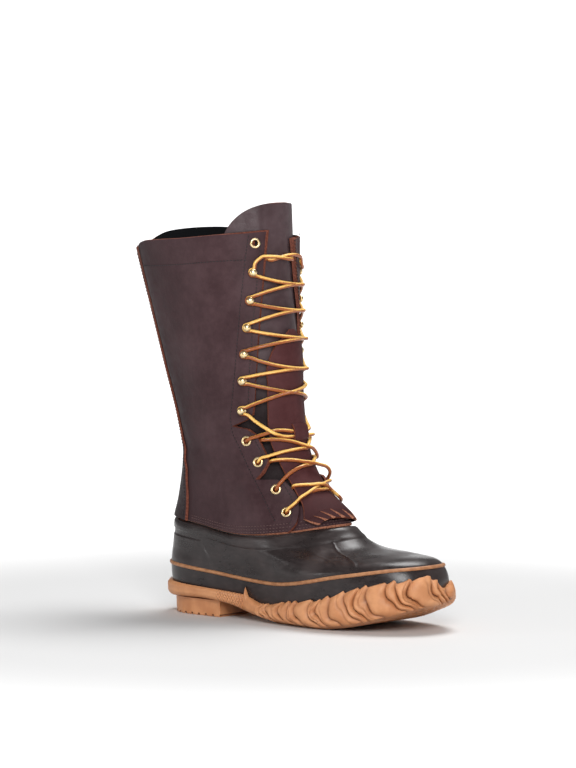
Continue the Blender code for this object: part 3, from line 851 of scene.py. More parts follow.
# %% [markdown]
# The cord itself is a ring of points carried along the route. Blender's curves can do that with a
# bevel, but here each point also has to know how far it looks up, for the gold face of the lace,
# which is also its painted light.

# %% Lace tubes
LACE_STEP = 1.1
LACE_SIDES = 12
TWIST_LENGTH = 31.0
TWIST_REACH = 0.9


def run_along(points):
    """Length of the way from the first point to each one."""
    return np.concatenate([[0], np.cumsum(np.linalg.norm(np.diff(points, axis=0), axis=1))])


def smooth_path(points, step):
    """Even points along a smooth curve through the given ones."""
    knots = run_along(points)
    at = np.linspace(0, knots[-1], int(knots[-1] / step) + 1)
    return weights(knots, at) @ points


def length_of(path):
    return np.linalg.norm(np.diff(path, axis=0), axis=1).sum()


def tube(path, radius, sides):
    """Round cord along a path, and how much of each point's face looks up."""
    heading = unit(np.gradient(path, axis=0))
    side = unit(np.cross(heading[0], (0.0, 0.0, 1.0)))
    turns = np.arange(sides) * 2 * math.pi / sides
    rings, faces_up, run = [], [], 0.0
    for k, (point, ahead) in enumerate(zip(path, heading)):
        side = unit(side - ahead * (side @ ahead))
        other = np.cross(ahead, side)
        ways = np.cos(turns)[:, None] * side + np.sin(turns)[:, None] * other
        rings.append(point + radius * ways)
        run += np.linalg.norm(point - path[max(k - 1, 0)])
        # Which way counts as up wobbles slowly, so the gold and its painted light turn with the cord
        lean = TWIST_REACH * math.sin(run / TWIST_LENGTH)
        over = unit(np.array([0.0, -math.sin(lean), math.cos(lean)]))
        faces_up.append(ways @ over)
    faces = tube_faces(len(path), sides)
    return (np.concatenate(rings), faces, [0] * len(faces)), np.concatenate(faces_up)


lace_path = smooth_path(route, LACE_STEP)
lace_part, lace_lit_face = tube(lace_path, LACE / 2, LACE_SIDES)
lace = make("lace", lace_part, [lace_cord], {"face": lace_lit_face})
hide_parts(*[f"lace_{k}" for k in range(1, len(LACED))])
print("laced length", round(length_of(lace_path)), "mm")

# %% [markdown]
# ## The half knot
# Above the top hooks the two ends are twisted once around each other, then tucked behind the
# quarters, where they stop at the empty top eyelets. Each end is made as a cord of its own, along
# its own route.

# %% Half knot
KNOT_LEVEL, KNOT_LIFT, KNOT_SPREAD = 12.54, 1.3, 1.9
KNOT_START, KNOT_END = 154.0, 203.0
KNOT_TURNS = 0.75
KNOT_POINTS = 15
KNOT_TUCK = 3.0
KNOT_DEPTH = -2.9
COLLAR_ROW_HEIGHT = 56.0
# Rise from the top hook to the twist: angle, level, height
KNOT_RISE = {
    1: [(147.0, 12.49, 2.6), (150.4, 12.545, 2.4)],
    -1: [(226.0, 12.40, 3.4), (216.0, 12.40, 3.8), (208.5, 12.45, 3.0)],
}
END_STOP_ANGLE, END_STOP_LEVEL = 7.0, 0.10


def knot_end(side):
    """Route of one end: off its top hook, round the other end and under the far quarter."""
    _, level, *angles = LACED[-1]
    points = round_hook(angles[0] if side > 0 else angles[1], level)[2:]
    points += [raised(*spot) for spot in KNOT_RISE[side]]
    share = np.linspace(0, 1, KNOT_POINTS)
    around = KNOT_START + (KNOT_END - KNOT_START) * share
    turn = 2 * math.pi * KNOT_TURNS * share + (0 if side > 0 else math.pi)
    level = KNOT_LEVEL + KNOT_SPREAD / COLLAR_ROW_HEIGHT * np.cos(turn)
    twist = raised(around, level, KNOT_LIFT + KNOT_SPREAD * np.sin(turn))
    far_edge = on_side(edge_of(KNOT_LEVEL, -side), -side)
    points += list(twist[side * (far_edge - around) > KNOT_TUCK][::side])
    points += under_edge(KNOT_LEVEL, -side, KNOT_DEPTH)
    _, level, outer, inner = FASTENINGS[-1]
    stop = inner - END_STOP_ANGLE if side > 0 else outer + END_STOP_ANGLE
    points.append(raised(stop, level - END_STOP_LEVEL, KNOT_DEPTH + stand_off(stop, level)))
    return np.array(points)


for name, side in SIDES.items():
    path = smooth_path(knot_end(side), LACE_STEP)
    part, face = tube(path, LACE / 2, LACE_SIDES)
    end = make(f"knot_{name}", part, [lace_cord], {"face": face})
    if side > 0:
        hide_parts("lace_knot")

# %% [markdown]
# ## Eyelets and speed hooks
# Brass hardware is turned: a profile of radius and height is swept round the direction the leather
# faces. An eyelet is a rolled ring with a barrel; a hook is a stud with a domed head.

# %% Eyelets and hooks
TURNED_SIDES = 40
EYELET_PROFILE = np.array([
    (2.4, -2.5), (2.8, -2.5), (2.9, 0.2), (4.5, 0.25), (4.8, 0.5), (4.7, 0.95),
    (4.25, 1.3), (3.65, 1.45), (3.1, 1.3), (2.75, 0.9), (2.55, 0.3), (2.4, -1.0),
])
HOOK_PROFILE = np.array([
    (0.05, 0.1), (3.2, 0.1), (3.3, 0.5), (3.0, 0.95), (1.9, 1.35), (1.5, 1.9), (1.5, 3.9), (2.1, 4.2),
    (3.1, 4.4), (3.5, 4.9), (3.55, 5.5), (3.3, 6.2), (2.75, 6.9), (1.9, 7.4), (1.0, 7.65), (0.05, 7.7),
])


def turned(profile, around, level, closed):
    """Profile swept round the direction that the leather faces."""
    spot, out, inward, up = stand(around, level)
    side = 1 if around < 180 else -1
    turns = np.arange(TURNED_SIDES) * 2 * math.pi / TURNED_SIDES
    flat = np.cos(turns)[:, None] * inward + np.sin(turns)[:, None] * up
    points = spot + profile[:, :1, None] * flat + profile[:, 1:, None] * out
    cells = grid_cells(len(profile), TURNED_SIDES, wrap_rows=closed, wrap_columns=True).reshape(-1, 4)
    cells = cells if side > 0 else cells[:, ::-1]
    faces = cells.tolist()
    if not closed:
        low = list(range(TURNED_SIDES))
        high = [(len(profile) - 1) * TURNED_SIDES + corner for corner in low]
        faces += [low[::-1], high] if side > 0 else [low, high[::-1]]
    return points.reshape(-1, 3), faces, [0] * len(faces)


for kind, profile in (("eyelet", EYELET_PROFILE), ("hook", HOOK_PROFILE)):
    parts, nodes = [], []
    rows = [row for row in FASTENINGS if row[0] == kind]
    for k, (_, level, *angles) in enumerate(rows, start=1):
        parts += [turned(profile, around, level, kind == "eyelet") for around in angles]
        nodes += [f"{kind}_{side}_{k}" for side in SIDES]
    hardware = make(f"{kind}s", join(parts), [brass])
    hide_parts(*nodes)

# %% [markdown]
# ## The quarters
# The shaft is one wide sheet that wraps the heel and stops at two front edges. The cut edge is
# shaved at a slant, so its tan core shows from outside. A few soft hollows are placed where the
# ankle bends, and each eyelet is a hole through both faces.

# %% Leather shape
# Width of the slanted front edge: level, angle
EDGE_SLANT = np.array([
    (7.00, 1.2), (8.40, 1.2), (8.50, 2.4), (9.00, 1.8), (9.50, 1.8),
    (9.74, 2.6), (10.0, 1.5), (11.5, 1.6), (12.4, 2.3), (13.0, 3.6),
])
INNER_SLANT = np.array([(7.0, 1.4), (10.0, 1.6), (11.2, 2.4), (12.0, 7.0), (13.0, 11.0)])
EDGE_SLANT_LEVEL = 0.055
# Collar line, higher on the inner side: angle around, level; and where its slant begins
COLLAR = np.array([
    (-171.5, 12.83),
    (-150.0, 12.88),
    (-125.0, 12.94),
    (-105.0, 13.02),
    (-90.0, 13.12),
    (-70.0, 13.29),
    (-40.0, 13.36),
    (-20.0, 13.30),
    (0.0, 13.10),
    (27.0, 13.00),
    (55.0, 13.09),
    (75.0, 13.07),
    (95.0, 13.03),
    (120.0, 13.00),
    (162.0, 13.00),
])
COLLAR_BEND = 12.15
SEAM_ANGLE = 103.0
HOLE_RADIUS = 3.0
# Soft troughs and ridges: first angle, level, second angle, level, half width, depth (plus is out)
CREASES = [
    (108, 9.72, 84, 9.50, 5.0, -0.9),
    (104, 9.55, 80, 9.30, 6.0, 0.6),
    (122, 8.50, 98, 8.36, 5.0, -0.8),
    (70, 9.25, 36, 9.10, 7.0, -0.9),
    (72, 9.02, 40, 8.86, 7.0, 0.6),
    (74, 8.80, 44, 8.62, 6.0, -0.6),
    (84, 10.4, 92, 12.2, 16.0, 0.9),
    (60, 10.6, 62, 12.4, 14.0, -0.8),
    (112, 10.9, 122, 12.2, 9.0, -0.6),
]


def from_heel(around):
    """Angle from the heel line, the same on both sides."""
    return np.abs((np.asarray(around, float) + 180) % 360 - 180)


def creased(around, level):
    """Height of the leather's soft creases, the same on both sides."""
    points = skin(from_heel(around), level)
    height = np.zeros(points.shape[:-1])
    for a_angle, a_level, b_angle, b_level, width, depth in CREASES:
        start, end = skin(a_angle, a_level), skin(b_angle, b_level)
        t = np.clip(((points - start) @ (end - start)) / ((end - start) @ (end - start)), 0, 1)
        gap = np.linalg.norm(points - start - t[..., None] * (end - start), axis=-1)
        height += depth * np.exp(-(gap / width) ** 2)
    return height


def up_to_collar(around, level):
    """Levels of a sheet's rows, the top ones stretched to the slant of the collar."""
    above = np.clip(level - COLLAR_BEND, 0, None)
    return level + above * (smooth_table(COLLAR, around) - THROAT[-1, 0]) / (THROAT[-1, 0] - COLLAR_BEND)


print(len(CREASES), "soft creases on each side")

# %% [markdown]
# The sheet's columns run from one front edge round the heel to the other, closer together at the
# front, where the edges bend. A remesh could add points there by itself, but it would not keep
# the notches sharp; extra rows do.

# %% Rows and columns of the shaft
LEATHER_EDGE, COLLAR_LEVEL = 7.0, 13.0
UPPER_ROWS, BACK_COLUMNS, FRONT_COLUMNS = 121, 66, 37
# Extra rows at the two notches of each front edge
NOTCH_LEVELS = np.concatenate([np.linspace(8.42, 8.60, 10), np.linspace(9.62, 9.88, 10)])
even_levels = np.linspace(LEATHER_EDGE, COLLAR_LEVEL, UPPER_ROWS)
upper_levels = np.unique(np.round(np.concatenate([even_levels, THROAT[:, 0], NOTCH_LEVELS]), 3))
back_columns = np.linspace(0, SEAM_ANGLE, BACK_COLUMNS)
front_columns = np.linspace(0, 1, FRONT_COLUMNS)[1:]


def quarter_angles(outer_slant, inner_slant):
    """Angles of the upper's columns, from the outer front edge round the heel to the inner one."""
    back = np.broadcast_to(back_columns, (len(upper_levels), len(back_columns)))
    slants = ((1, outer_slant), (-1, inner_slant))
    edges = [(edge_of(upper_levels, side) - slant)[:, None] for side, slant in slants]
    outer, inner = [np.hstack([back, SEAM_ANGLE + (edge - SEAM_ANGLE) * front_columns]) for edge in edges]
    return np.hstack([outer[:, ::-1], -inner[:, 1:]])


edge_slants = [smooth_table(slant, upper_levels) for slant in (EDGE_SLANT, INNER_SLANT)]
outer_around = quarter_angles(*edge_slants)
inner_around = quarter_angles(0.0, 0.0)
print("the shaft has", len(upper_levels), "rows of", inner_around.shape[1], "points")

# %% [markdown]
# The top edge is shaved at a slant as well. Creases and the loose flap lift both faces together, so
# the leather keeps its thickness. Cells over an eyelet are left out, and the sheet closes each hole
# with a cut edge by itself, so no boolean is needed. The heel side is darkened with painted shade.

# %% Quarters
# Slant of the collar's cut edge, more at the front: levels, levels, power; angles where the front is
TOP_SLANT, FRONT_TOP_SLANT, TOP_SLANT_POWER = 0.008, 0.02, 6
FRONT_START, FRONT_FADE = 120.0, 20.0
FLESH_ANGLE = 118.0
# Painted shade on the heel side: amount, angle where it ends, width of its fade
BACK_SHADE, BACK_ANGLE, BACK_FADE = 0.5, 62.0, 70.0
FLESH, BOTTOM_EDGE = 3, 4
inner_level = up_to_collar(inner_around, upper_levels[:, None])
near_collar = np.clip((upper_levels[:, None] - COLLAR_BEND) / (COLLAR_LEVEL - COLLAR_BEND), 0, 1)
front = np.clip((outer_around - FRONT_START) / FRONT_FADE, 0, 1)
top_slant = (TOP_SLANT + FRONT_TOP_SLANT * front) * near_collar ** TOP_SLANT_POWER
outer_level = np.clip(inner_level, LEATHER_EDGE + EDGE_SLANT_LEVEL, None) - top_slant
form = creased(inner_around, inner_level) + stand_off(inner_around, inner_level)
outer = raised(outer_around, outer_level, form)
inner = raised(inner_around, inner_level, form - LEATHER)
middle = (outer[:-1, :-1] + outer[1:, 1:]) / 2
keep = np.ones(middle.shape[:2], bool)
for kind, level, *angles in FASTENINGS:
    for around in angles if kind == "eyelet" else ():
        keep &= np.linalg.norm(middle - flap(around, level), axis=-1) > HOLE_RADIUS
points, faces, kinds = sheet(outer, inner, keep)
kinds = np.array(kinds)
kinds[-keep.sum():][np.abs(inner_around[:-1, :-1])[keep] > FLESH_ANGLE] = FLESH
in_first_row = (np.array(faces)[:, :2] < outer.shape[1]).all(axis=1)
kinds[in_first_row & (kinds == 1)] = BOTTOM_EDGE
# Painted shade: the heel side is painted darker, stored for the leather finish to read
back_shade = BACK_SHADE * soft_step(BACK_ANGLE - np.abs(inner_around), BACK_FADE)
finishes = [leather, raw_edge, lining, flesh, tan_edge]
stored = {"painted_shade": np.tile(back_shade.ravel(), 2)}
quarters = make("quarters", (points, faces, kinds), finishes, stored)
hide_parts("upper")

# %% [markdown]
# ## Backstay, vamp strip and tongue
# The backstay is a strap over the back seam that spreads at the heel. The vamp strip closes the
# front between the quarters, just above the rubber. The tongue stands higher than the collar, and
# lies deep enough at the sides to leave room for the lace.

# %% Backstay and vamp strip
BACKSTAY = np.array([
    (7.00, 50.0),
    (7.60, 51.0),
    (8.20, 50.0),
    (8.60, 45.0),
    (9.30, 36.0),
    (10.00, 31.0),
    (11.20, 31.0),
    (13.00, 38.0),
])
BACKSTAY_BASE, BACKSTAY_TOP = 0.5, 2.4
BACKSTAY_ROWS, BACKSTAY_COLUMNS = 120, 49
BACKSTAY_LOW, BACKSTAY_HIGH = 7.03, 12.98
BACKSTAY_SLANT = np.array([(7.0, 1.3), (11.0, 1.3), (12.0, 3.0), (13.0, 9.0)])
rows = np.linspace(LEATHER_EDGE, COLLAR_LEVEL, BACKSTAY_ROWS)[:, None]
half = smooth_table(BACKSTAY, rows)
across = np.linspace(-1, 1, BACKSTAY_COLUMNS)
inner_around = half * across
outer_around = (half - smooth_table(BACKSTAY_SLANT, rows)) * across
form = creased(inner_around, rows)
inner = raised(inner_around, up_to_collar(inner_around, rows), form + BACKSTAY_BASE)
outer_level = up_to_collar(outer_around, np.clip(rows, BACKSTAY_LOW, BACKSTAY_HIGH))
outer = raised(outer_around, outer_level, form + BACKSTAY_TOP)
backstay = make("backstay_strap", sheet(outer, inner), [dark_leather, raw_edge, raw_edge])
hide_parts("backstay")

STRIP_DEPTH, STRIP_THICK = 0.3, 1.7
STRIP_TOP, STRIP_ROWS, STRIP_COLUMNS = 7.82, 26, 81
# The strip's ends pass behind the quarters: angles behind the edge, of the dive, of its fade; depth
STRIP_OVERLAP, DIVE_ANGLE, DIVE_FADE, DIVE_DEPTH = 3.0, 6.0, 3.0, 2.4
rows = np.linspace(LEATHER_EDGE, STRIP_TOP, STRIP_ROWS)[:, None]
half = 180 - table(THROAT, rows) + STRIP_OVERLAP
around = 180 + half * np.linspace(-1, 1, STRIP_COLUMNS)
under_quarter = np.clip((np.abs(around - 180) - half + DIVE_ANGLE) / DIVE_FADE, 0, 1) * DIVE_DEPTH
low_edge = np.clip(rows, LEATHER_EDGE + EDGE_SLANT_LEVEL, None)
outer = raised(around, low_edge, -STRIP_DEPTH - under_quarter)
inner = raised(around, rows, -STRIP_DEPTH - STRIP_THICK - under_quarter)
strip = make("vamp_leather", sheet(outer, inner), [leather, tan_edge, lining])
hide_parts("vamp_strip")

# %% [markdown]
# The tongue is a plain sheet with rounded shoulders. It could be the same depth all over, but then
# the lace behind the quarters would have no room, so it drops back at the sides. Where it lies under
# the quarters and low on the instep it gets painted shade, which keeps the gaps of the throat dark.

# %% Tongue
# Half angle of the tongue from the toe line: level, angle
TONGUE = np.array([(7.68, 42.0), (8.20, 62.0), (8.90, 74.0), (10.20, 74.0), (11.00, 60.0), (13.00, 54.0)])
TONGUE_ROWS, TONGUE_COLUMNS = 130, 61
TONGUE_BEVEL = 0.02
TONGUE_THICK = 2.0
TONGUE_TOP = 13.64
SHOULDER_DROP, SHOULDER_ANGLE, SHOULDER_POWER = 0.5, 50.0, 3.5
# Room for the lace at the sides: depth, angle where it begins, fade; below one level, above another
LACE_ROOM, ROOM_ANGLE, ROOM_FADE = 2.4, 26.0, 12.0
LOW_ROOM, LOW_ROOM_FADE = 10.2, 0.4
HIGH_ROOM, HIGH_ROOM_FADE = 12.2, 0.3
# Painted shade on the tongue: level below which it is shaded and its fade, angle past the quarter's edge and
# its fade, drop below the collar
SHADE_LEVEL, SHADE_FADE, SHADE_ANGLE, SHADE_BELOW = 10.6, 1.6, 3.0, 0.08
up = np.linspace(0, 1, TONGUE_ROWS)[:, None]
half = smooth_table(TONGUE, TONGUE[0, 0] + up * (TONGUE_TOP - TONGUE[0, 0]))
around = 180 + half * np.linspace(-1, 1, TONGUE_COLUMNS)
drop = SHOULDER_DROP * (np.abs(around - 180) / SHOULDER_ANGLE) ** SHOULDER_POWER
level = TONGUE[0, 0] + up * (TONGUE_TOP - drop - TONGUE[0, 0])
below_quarter = np.clip((np.abs(around - 180) - ROOM_ANGLE) / ROOM_FADE, 0, 1)
beside_lace = np.clip((LOW_ROOM - level) / LOW_ROOM_FADE, 0, 1)
beside_lace = beside_lace + np.clip((level - HIGH_ROOM) / HIGH_ROOM_FADE, 0, 1)
depth = TONGUE_DEPTH + LACE_ROOM * below_quarter * beside_lace
outer = raised(around, np.clip(level, None, TONGUE_TOP - TONGUE_BEVEL), -depth)
inner = raised(around, level, -depth - TONGUE_THICK)
edge = np.where(around < 180, edge_of(level, 1), edge_of(level, -1))
rim = smooth_table(COLLAR, np.where(around < 180, around, around - 360)) - SHADE_BELOW
# Painted shade: dark under the quarters' edges and below the instep level
shade_under_quarter = soft_step(np.abs(around - 180) - (180 - edge) - SHADE_ANGLE, SHADE_ANGLE) * (level < rim)
painted_shade = np.tile(np.maximum(shade_under_quarter, 1 - soft_step(level - SHADE_LEVEL, SHADE_FADE)).ravel(), 2)
finishes = [tongue_leather, raw_edge, lining]
tongue = make("tongue_leather", sheet(outer, inner), finishes, {"painted_shade": painted_shade})
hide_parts("tongue")

# %% [markdown]
# ## The kiltie
# The kiltie is a loose flap over the tongue. Its lower edge is cut into slanting teeth that curl a
# little, so each shows its raw edge. The flap is one sheet, and every tooth is a small sheet of its
# own, because a tooth leans and lifts apart from its neighbours.

# %% Kiltie
FRINGE_ROOT, FRINGE_TIP = 7.34, 7.03
TOOTH_DROP = 2.4
# The fringe is cut in a flat bow: angle, level above the ends
FRINGE_BOW = np.array([
    (140, 0.0), (147, -0.02), (154, 0.08), (161, 0.15), (172, 0.14), (185, 0.07), (200, 0.0), (226, 0.0),
])
BOW_HEIGHT = 0.4
FRINGE_CUTS = [143.0, 150.5, 158.5, 168.5, 181.5, 197.0, 216.0]
TOOTH_LEAN = 7.5
TOOTH_CURL = 1.5
TOOTH_SLANT, TOOTH_SLANT_POWER = 2.3, 0.3
TOOTH_TAPER = 0.15
TOOTH_ROWS, TOOTH_COLUMNS = 10, 9
FRINGE_EDGE = 3
# Slant of the flap's cut edge, which fades where the flap is narrower than an angle
KILTIE_SLANT, NARROW_ANGLE = 0.9, 10.0
KILTIE_ROWS, KILTIE_COLUMNS = 110, 57
ROOT_OVERLAP = 0.02
rows = np.linspace(FRINGE_ROOT - ROOT_OVERLAP, KILTIE[-1, 0], KILTIE_ROWS)[:, None]
half = smooth_table(KILTIE, rows)
across = np.linspace(-1, 1, KILTIE_COLUMNS)
lift = smooth_table(KILTIE_LIFT, rows)
inner_around = 180 + half * across
outer_around = 180 + (half - KILTIE_SLANT * np.clip(half / NARROW_ANGLE, 0, 1)) * across
near_fringe = np.clip(1 - (rows - FRINGE_ROOT) / BOW_HEIGHT, 0, 1)
bowed = rows + smooth_table(FRINGE_BOW, inner_around) * near_fringe
outer = raised(outer_around, bowed, lift + KILTIE_THICK)
parts = [sheet(outer, raised(inner_around, bowed, lift))]

steps = np.linspace(0, 1, TOOTH_COLUMNS)
tooth_rows = np.linspace(0, 1, TOOTH_ROWS)[:, None]
last_row = len(steps) * (len(tooth_rows) - 1)
for left, right in zip(FRINGE_CUTS, FRINGE_CUTS[1:]):
    level = FRINGE_ROOT + (FRINGE_TIP - FRINGE_ROOT) * tooth_rows * (1 - TOOTH_TAPER * steps)
    lift = smooth_table(KILTIE_LIFT, level) + (TOOTH_CURL * (1 - steps) - TOOTH_DROP) * tooth_rows
    inner_around = left + (right - left) * steps + TOOTH_LEAN * tooth_rows
    level = level + smooth_table(FRINGE_BOW, inner_around)
    outer_around = inner_around + TOOTH_SLANT * (1 - steps) * tooth_rows ** TOOTH_SLANT_POWER
    outer = raised(outer_around, level, lift + KILTIE_THICK)
    points, faces, kinds = sheet(outer, raised(inner_around, level, lift))
    on_side_wall = [min(face[:2]) < last_row and kind == 1 for face, kind in zip(faces, kinds)]
    parts.append((points, faces, [FRINGE_EDGE if cut else kind for cut, kind in zip(on_side_wall, kinds)]))

print(len(parts) - 1, "teeth in the fringe")

# %% [markdown]
# A narrow keeper is raised from the kiltie to hold two strands. It is a small sheet whose ends dip
# into the flap. The flap's foot gets painted shade, stored like the tongue's.

# %% Keeper
# Painted shade at the flap's foot: amount, height where it ends, fade
FOOT_SHADE, FOOT_HEIGHT, FOOT_FADE = 0.5, 118.0, 46.0
KEEPER_ROWS, KEEPER_COLUMNS = 21, 25
KEEPER_OVERHANG, KEEPER_SINK, KEEPER_SLANT = 0.5, 0.4, 0.8
KEEPER_RISE, KEEPER_LIP, KEEPER_THICK = 0.7, 1.6, 1.4
KEEPER_BOW = 1.2
rows = np.linspace(-1, 1, KEEPER_ROWS)[:, None]
across = np.linspace(0, 1, KEEPER_COLUMNS)
left = KEEPER_LEFT - KEEPER_OVERHANG + KEEPER_BOW * (1 - rows ** 2)
around = left + (KEEPER_RIGHT - left) * across
level = np.broadcast_to(KEEPER_LEVEL + KEEPER_HALF * rows, around.shape)
bulge = (KEEPER_RISE + KEEPER_LIP * np.abs(2 * across - 1) ** 3) * (1 - rows ** 4)
lift = smooth_table(KILTIE_LIFT, level) + KILTIE_THICK - KEEPER_SINK + bulge
outer = raised(around + KEEPER_SLANT * (1 - across), level, lift + KEEPER_THICK)
parts.append(sheet(outer, raised(around, level, lift)))
points, faces, kinds = join(parts)
# Painted shade: the flap darkens towards its foot
foot_shade = FOOT_SHADE * (1 - soft_step(points[:, 2] - FOOT_HEIGHT, FOOT_FADE))
finishes = [kiltie_leather, raw_edge, flesh, tan_edge]
kiltie = make("kiltie_flap", (points, faces, kinds), finishes, {"painted_shade": foot_shade})
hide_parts("kiltie")

# %% [markdown]
# ## The rubber bottom
# The bottom is moulded rubber: a rounded band grips the leather, two ridges run down each side of
# the vamp, and a thicker counter patch wraps the heel. Sculpting could raise them, but a height
# that is worked out for every place stays exact and is easy to change.

# %% Rubber relief
# Ridges of the vamp: places from the top down as level and angle, half width, height
RIDGES = [
    ([(5.80, 152.0), (4.77, 143.7), (2.84, 133.0), (2.30, 130.5)], 1.1, 0.55),
    ([(5.75, 133.4), (4.53, 128.7), (3.24, 126.2), (2.30, 125.0)], 1.3, 0.35),
]
COUNTER_ANGLE, COUNTER_TOP = 60.0, 5.35
COUNTER_RISE = 0.5
COUNTER_SIDE_FADE, COUNTER_TOP_FADE = 1.6, 0.12
COUNTER_BASE, COUNTER_BASE_FADE = 2.3, 0.2
RIDGE_LOW, RIDGE_LOW_FADE = 2.35, 0.3
RIDGE_HIGH, RIDGE_HIGH_FADE = 5.8, 0.2
RIDGE_STEP = 0.3
# Waviness: height, waves around, their turn with the level, waves up the side
WAVE_HEIGHT, WAVES_AROUND, WAVE_TURN, WAVES_UP = 0.10, 7, 2.1, 1.7
MM_PER_DEGREE = 1.6


def moulded(around, level):
    """Relief of the rubber: ridges, counter patch and a slight hand-laid waviness."""
    folded = from_heel(around)
    height = WAVE_HEIGHT * np.sin(np.radians(around) * WAVES_AROUND + level * WAVE_TURN)
    height = height * np.sin(level * WAVES_UP)
    for line, width, rise in RIDGES:
        line = np.array(line)[::-1]
        gap = (folded - smooth_table(line, level)) * MM_PER_DEGREE
        fade = soft_step(level - RIDGE_LOW, RIDGE_LOW_FADE) * soft_step(RIDGE_HIGH - level, RIDGE_HIGH_FADE)
        crest = rise * np.exp(-(gap / width) ** 2)
        height = height + fade * (crest + RIDGE_STEP * rise * soft_step(gap, 2 * width))
    patch = soft_step(COUNTER_ANGLE - folded, COUNTER_SIDE_FADE)
    patch = patch * soft_step(COUNTER_TOP - level, COUNTER_TOP_FADE)
    return height + COUNTER_RISE * patch * soft_step(level - COUNTER_BASE, COUNTER_BASE_FADE)


print("counter patch stands", COUNTER_RISE, "mm proud")

# %% [markdown]
# The shell is one section swept around the foot: up the outside, over the band, down behind the
# leather and on down the inside. The outside takes the relief, the inside the lining's finish.

# %% Rubber shell
RUBBER = 3.0
# Flange behind the leather: thickness, top level, lower level, height of its face
FLANGE, FLANGE_TOP, FLANGE_BASE, FLANGE_FACE = 1.4, 7.6, 6.9, -3.0
# Rounded band that grips the leather: level, height
BAND_SECTION = np.array([
    (5.74, 0.0), (5.80, 0.25), (5.86, 0.8), (5.93, 1.15), (6.05, 1.3), (6.30, 1.35), (6.55, 1.3), (6.72, 1.1),
    (6.84, 0.6), (6.90, 0.0), (6.93, -1.0), (6.95, -3.0),
])
MOULD_START = 0.9
VAMP_TOP, VAMP_ROWS, RUBBER_COLUMNS = 5.70, 120, 400
columns = np.linspace(0, 360, RUBBER_COLUMNS, endpoint=False)
section = [(level, 0.0) for level in np.linspace(0, VAMP_TOP, VAMP_ROWS)]
section += [tuple(row) for row in BAND_SECTION]
back = FLANGE_FACE - FLANGE
inside = [(FLANGE_TOP, FLANGE_FACE), (FLANGE_TOP, back), (FLANGE_BASE, back)]
inside += [(level, -RUBBER) for level in range(6, -1, -1)]
rings = []
for level, out in section:
    rings.append(raised(columns, level, out + moulded(columns, level) * (level > MOULD_START)))
rings += [raised(columns, level, out) for level, out in inside]
cells = grid_cells(len(rings), len(columns), wrap_rows=True, wrap_columns=True)
kinds = np.zeros(cells.shape[:2], int)
kinds[len(section) + 1:] = 1
part = (np.concatenate(rings), cells.reshape(-1, 4).tolist(), kinds.ravel())
bottom = make("rubber_shell", part, [rubber, lining])
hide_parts("rubber_bottom")

# %% [markdown]
# A half-round strip of gum is pressed on where the vamp meets the foxing, the band that hides the
# joint with the sole. Its line dips at the waist, so its level is read from a table.

# %% Gum stripe
# Level of the stripe, the same on both sides: angle from the heel line, level
STRIPE_LEVEL = np.array([
    (0, 2.38), (38, 2.36), (52, 2.26), (68, 2.10), (83, 2.01), (96, 1.90),
    (109, 1.87), (122, 1.95), (133, 2.03), (146, 2.14), (165, 2.16), (180, 2.16),
])
STRIPE_HALF, STRIPE_RISE, STRIPE_ROOT, STRIPE_LIFT = 1.75, 1.7, 0.8, 0.1
STRIPE_POINTS = 13
LEVEL_REACH = 0.05
turns = np.linspace(-0.5, 0.5, STRIPE_POINTS) * math.pi
middle_level = smooth_table(STRIPE_LEVEL, from_heel(columns))
climb = skin(columns, middle_level + LEVEL_REACH) - skin(columns, middle_level - LEVEL_REACH)
per_level = np.linalg.norm(climb, axis=1) / (2 * LEVEL_REACH)
outline = [(STRIPE_HALF * math.sin(turn), STRIPE_RISE * math.cos(turn)) for turn in turns]
outline += [(STRIPE_HALF, -STRIPE_ROOT), (-STRIPE_HALF, -STRIPE_ROOT)]
rings = [raised(columns, middle_level + rise / per_level, out + STRIPE_LIFT) for rise, out in outline]
cells = grid_cells(len(rings), len(columns), wrap_rows=True, wrap_columns=True).reshape(-1, 4)
make("gum_stripe", (np.concatenate(rings), cells.tolist(), [0] * len(cells)), [stripe_gum])

# %% [markdown]
# ## The sole
# The chain-tread sole is poured gum. Along the forefoot its side is a row of overlapping petals:
# each swells towards the toe and drops off onto the next, and the creases bend forward underneath.
# One phase that counts petals along the edge gives relief, ragged top and painted crease shade together.

# %% Petals
RAND, RAND_LEVEL = 4.4, 1.0
# Underside of the sole: share of the length, height; and the rise from there to its lower edge
UNDERSIDE = np.array([
    (0.00, 16.0), (0.26, 16.0), (0.34, 12.0), (0.42, 4.0), (0.48, 0.0),
    (0.68, 0.0), (0.82, 6.0), (0.92, 14.3), (1.00, 22.3),
])
EDGE_RISE = np.array([(0.36, 0.0), (0.47, 3.4), (1.00, 3.4)])
TREAD_INSET = 9.0
# Side of the sole: share of its height, share of the rand's thickness
SOLE_PROFILE = np.array([(0.0, 0.05), (0.08, 0.48), (0.22, 0.84), (0.55, 1.0), (0.86, 0.9), (1.0, 0.55)])
SOLE_COLUMNS = 1350
PETAL_PITCH = 13.0
PETAL_DEPTH = 5.6
PETAL_START, PETAL_FULL = 0.405, 0.455
PETAL_RISE = 3.0
PETAL_LEAN = 5.0
SWEEP_BACK, SWEEP_TOE = 7.0, 17.0
SWEEP_POWER = 1.7
TOE_START, TOE_REACH = 0.4, 0.6
# Wander of the creases by hand: reach, length of a wave, turn with the height
WANDER = [(1.6, 7.3, 4.0), (1.1, 3.7, -6.0)]
UNEVEN, UNEVEN_RATE = 0.25, 2.1
